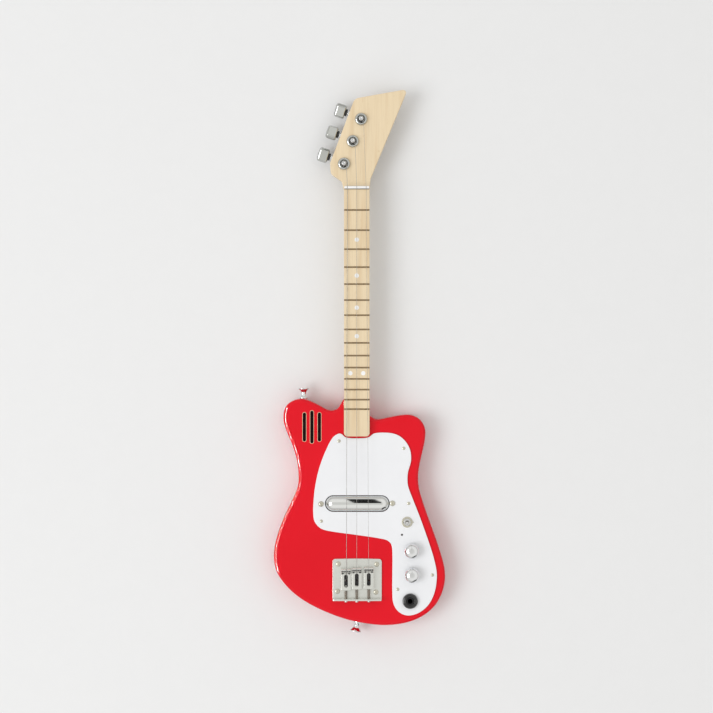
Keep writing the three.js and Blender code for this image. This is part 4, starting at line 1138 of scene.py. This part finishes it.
# ------------------------------------------------------------------ strap buttons
def make_strap_buttons():
    lower = next(m for m in frame["record"]["mounts"] if m["name"] == "strap_button_lower_end")
    for name, out, foot in (("upper", (0, 1, 0), (-73.8 * MM, 233 * MM, 19 * MM)),
                            ("lower", lower["axis"], (1 * MM, -75.4 * MM, 19 * MM))):
        profile = mm(
            (0, -0.5), (6, -0.5), (6, 1), (4.6, 2.8), (3.8, 5.6), (4.3, 8.6), (6.4, 11.6), (8, 12.7),
            (8, 13.7), (7.4, 14.3), (3.3, 14.3), (2.6, 12.6), (0, 12.6))
        button = moved(turned(profile, 72, 0.5 * MM), towards(out, foot))
        piece(f"strap_peg_{name}", button, "chrome", stands_for=[f"strap_button_{name}"])
        head = moved(screw_head(2.5, 1.1), towards(out, Vector(foot) + Vector(out) * 12.6 * MM))
        piece(f"strap_screw_{name}", head, "steel")


# ------------------------------------------------------------------ back covers
def make_speaker_lid():
    at = centre("speaker_cover")
    lid = disc((0, 0), 25.3, 0.4 * MM, 2.9 * MM, 96, edge=0.2 * MM, steps=2, low_edge=0.4 * MM)
    tools = []
    for k in range(-3, 4):
        reach = 2 * math.sqrt(15.5**2 - (k * 4.4) ** 2) * MM
        tools.append(slab(stadium((0, k * 4.4 * MM), reach, 1.6 * MM, 8), 0, 1.2 * MM))
    angles = [2 * math.pi * k / 3 + 0.5 for k in range(3)]
    for a in angles:
        sink_at = (21.6 * MM * math.cos(a), 21.6 * MM * math.sin(a))
        tools.append(disc(sink_at, 2.3, -MM, 1.3 * MM, 32))
    piece("speaker_lid", moved(combined(lid, tools), over(at)), "black_plastic", stands_for=["speaker_cover"])
    for number, a in enumerate(angles, 1):
        spot = (at.x + 21.6 * MM * math.cos(a), at.y + 21.6 * MM * math.sin(a), 1.3 * MM)
        piece(f"speaker_lid_screw_{number}", moved(screw_head(2, 0.7), towards(DOWN, spot, a)), "steel")


def make_battery_case():
    low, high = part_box("battery_box")
    flange = slab(grown_box(low, high, 0, 4 * MM), 0.4 * MM, 2.4 * MM, 0.2 * MM, 2, low_edge=0.4 * MM)
    well = slab(grown_box(low, high, -4.5 * MM, 2 * MM), 2 * MM, high.z)
    bay = slab(grown_box(low, high, -6.5 * MM, 0.3 * MM), -MM, high.z - 1.6 * MM)
    sides = (low.x + 3.2 * MM, high.x - 3.2 * MM)
    corners = [(x, y) for x in sides for y in (low.y + 3.2 * MM, high.y - 3.2 * MM)]
    sinks = [disc(corner, 2, -MM, 1.2 * MM, 28) for corner in corners]
    case = combined(combined(flange, [well], "UNION"), [bay, *sinks])
    piece("battery_case", case, "black_plastic", stands_for=["battery_box"])
    for k, corner in enumerate(corners, 1):
        head = moved(screw_head(1.7, 0.6), towards(DOWN, (*corner, 1.2 * MM), k))
        piece(f"battery_case_screw_{k}", head, "steel")


def make_battery_door():
    """A leaf with a round hinge edge and four finger grips."""
    low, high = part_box("battery_door")
    hinge = joint("battery_door_hinge")["pos_m"]
    radius = hinge[2] - low.z
    profile = [(high.x, low.z), (high.x, high.z), (hinge[0], high.z)]
    for k in range(1, 12):
        a = math.pi / 2 + math.pi * k / 12
        profile.append((hinge[0] + radius * math.cos(a), hinge[2] + radius * math.sin(a)))
    profile.append((hinge[0], low.z))
    leaf = slab([Vector(p) for p in profile], -high.y, -low.y, 0.15 * MM, 2)
    leaf.transform(Matrix(((1, 0, 0, 0), (0, 0, -1, 0), (0, 1, 0, 0), (0, 0, 0, 1))))
    grips = []
    for k in range(4):
        near, far = (high.x - (6 + 2.4 * k) * MM, 0.017), (high.x - (4.9 + 2.4 * k) * MM, 0.033)
        grips.append(slab(rounded_box(near, far, 0.4 * MM), -MM, low.z + 0.45 * MM))
    piece("battery_lid", combined(leaf, grips), "black_plastic", "door", ["battery_door"])


# ------------------------------------------------------------------ hidden parts keep their CAD shapes
def finish_hidden_parts():
    slots = {s["node"]: s["material_slot"] for s in frame["record"]["subparts"]}
    for name, obj in frame["nodes"].items():
        obj.data.materials.clear()
        obj.data.materials.append(FINISHES[slots[name]])
        edge = obj.modifiers.new("soft_edges", "BEVEL")
        edge.width = 0.15 * MM
        edge.segments = 1
        edge.limit_method = "ANGLE"


def make_wires():
    """Thin leads from the board to the battery, the speaker and the jack."""
    routes = {
        "battery_lead": (
            (66, 30, 10), (60, 60, 22), (56, 80, 24), (20, 92, 21), (-30, 92, 21), (-48, 88, 21.5),
            (-55, 62, 21), (-58, 42, 21)),
        "speaker_lead": (
            (66, 34, 10), (59, 62, 24), (56, 82, 26), (10, 95, 20), (-38, 95, 21), (-48, 100, 23),
            (-56, 152, 23), (-60, 176, 12)),
        "jack_lead": ((74, -28, 10.5), (74, -34, 13), (67, -40, 17), (64.8, -44.5, 20)),
    }
    colours = {"battery_lead": "battery_case", "speaker_lead": "black_plastic", "jack_lead": "white_plastic"}
    for name, points in routes.items():
        path = [Vector(p) * MM for p in points]
        fine = []
        for a, b in zip(path, path[1:]):
            fine += [a.lerp(b, k / 4) for k in range(4)]
        piece(name, tube([*fine, path[-1]], 0.7 * MM, 8), colours[name], sharp=80)


# ------------------------------------------------------------------ stage
def make_stage():
    size = 3.0
    rings = [[Vector((x, y, z)) for x, y in ((-size, -size), (size, -size), (size, size), (-size, size))]
             for z in (-0.02, -0.0001)]
    floor = bpy.data.objects.new("floor", skin(rings))
    bpy.context.collection.objects.link(floor)
    paper = plain_finish("floor_paper", (0.785, 0.79, 0.80), 0.9, spread=0.004, grain=60.0, relief=0.01)
    floor.data.materials.append(paper)


def scaled(tree, value, factor, added):
    node = tree.nodes.new("ShaderNodeMath")
    node.operation = "MULTIPLY_ADD"
    node.inputs[1].default_value = factor
    tree.links.new(value, node.inputs[0])
    if isinstance(added, bpy.types.NodeSocket):
        tree.links.new(added, node.inputs[2])
    else:
        node.inputs[2].default_value = added
    return node.outputs["Value"]


def make_studio_light():
    """A pale room with a thin black strip overhead, dark patches low down, and two lights at the left."""
    world = bpy.data.worlds.new("studio")
    bpy.context.scene.world = world
    world.use_nodes = True
    tree = world.node_tree
    back = tree.nodes["Background"]
    direction = tree.nodes.new("ShaderNodeTexCoord").outputs["Generated"]
    parts = tree.nodes.new("ShaderNodeSeparateXYZ")
    tree.links.new(direction, parts.inputs["Vector"])
    white, black = (1.0, 1.0, 1.0), (0.02, 0.02, 0.02)
    colour = ramp_of(tree, parts.outputs["Z"], (
        (0.0, (0.42, 0.41, 0.39)), (0.3, (0.60, 0.59, 0.575)), (0.6, (0.83, 0.82, 0.80)),
        (0.9, (0.85, 0.84, 0.815)), (0.97, (0.72, 0.715, 0.69)), (0.99, (0.66, 0.655, 0.63))))
    for toward, reach, soft in (((0.42, -0.90, 0.12), 0.36, 0.42), ((-0.97, -0.2, 0.02), 0.22, 0.28)):
        away = tree.nodes.new("ShaderNodeVectorMath")
        away.operation = "DISTANCE"
        away.inputs[1].default_value = Vector(toward).normalized()
        tree.links.new(direction, away.inputs[0])
        shade = ramp_of(tree, away.outputs["Value"], ((reach, black), (soft, white)))
        colour = mixed(tree, "MULTIPLY", colour, shade)
    slanted = scaled(tree, scaled(tree, parts.outputs["Y"], 0.006, parts.outputs["X"]), 10.0, 0.5)
    along = scaled(tree, parts.outputs["Y"], 0.5, 0.5)
    sides = ramp_of(tree, slanted, ((0.487, white), (0.497, black), (0.655, black), (0.67, white)))
    ends = ramp_of(tree, along, ((0.535, white), (0.545, black), (0.93, black), (0.945, white)))
    colour = mixed(tree, "MULTIPLY", colour, mixed(tree, "LIGHTEN", sides, ends))
    tree.links.new(colour, back.inputs["Color"])
    back.inputs["Strength"].default_value = 1.09

    make_lamp("key", (-3.7, -0.5, 4.7), (3.0, 3.0), 126.0)
    strip = make_lamp("strip", (-2.7, 0.1, 1.55), (3.2, 0.28), 560.0)
    strip.visible_diffuse = False
    lacquered = bpy.data.collections.new("lacquered")
    lacquered.objects.link(bpy.data.objects["guitar_body"])
    strip.light_linking.receiver_collection = lacquered


def make_lamp(name, place, sizes, power):
    light = bpy.data.lights.new(name, "AREA")
    light.shape = "RECTANGLE"
    light.size, light.size_y = sizes
    light.energy = power
    light.color = (0.98, 0.99, 1.0)
    lamp = bpy.data.objects.new(name, light)
    aim = Vector((0.0, 0.28, 0.0)) - Vector(place)
    lamp.matrix_world = Matrix.Translation(place) @ aim.to_track_quat("-Z", "Y").to_matrix().to_4x4()
    bpy.context.collection.objects.link(lamp)
    return lamp


def make_camera():
    data = bpy.data.cameras.new("camera")
    data.sensor_width = 36.0
    data.lens = 86.94
    camera = bpy.data.objects.new("camera", data)
    camera.location = (-0.0004, 0.2906, 2.4)
    bpy.context.collection.objects.link(camera)
    bpy.context.scene.camera = camera
    bpy.context.scene.view_settings.view_transform = "Standard"


make_camera()
make_stage()
make_body()
make_neck()
make_fretboard()
make_frets()
make_nut()
make_plate_screws()
make_pickguard()
make_pickup()
make_toggle()
make_led()
make_knobs()
make_jack()
make_bridge_plate()
make_saddles()
make_intonation()
make_strings()
make_tuners()
make_strap_buttons()
make_speaker_lid()
make_battery_case()
make_battery_door()
make_wires()
finish_hidden_parts()
make_studio_light()
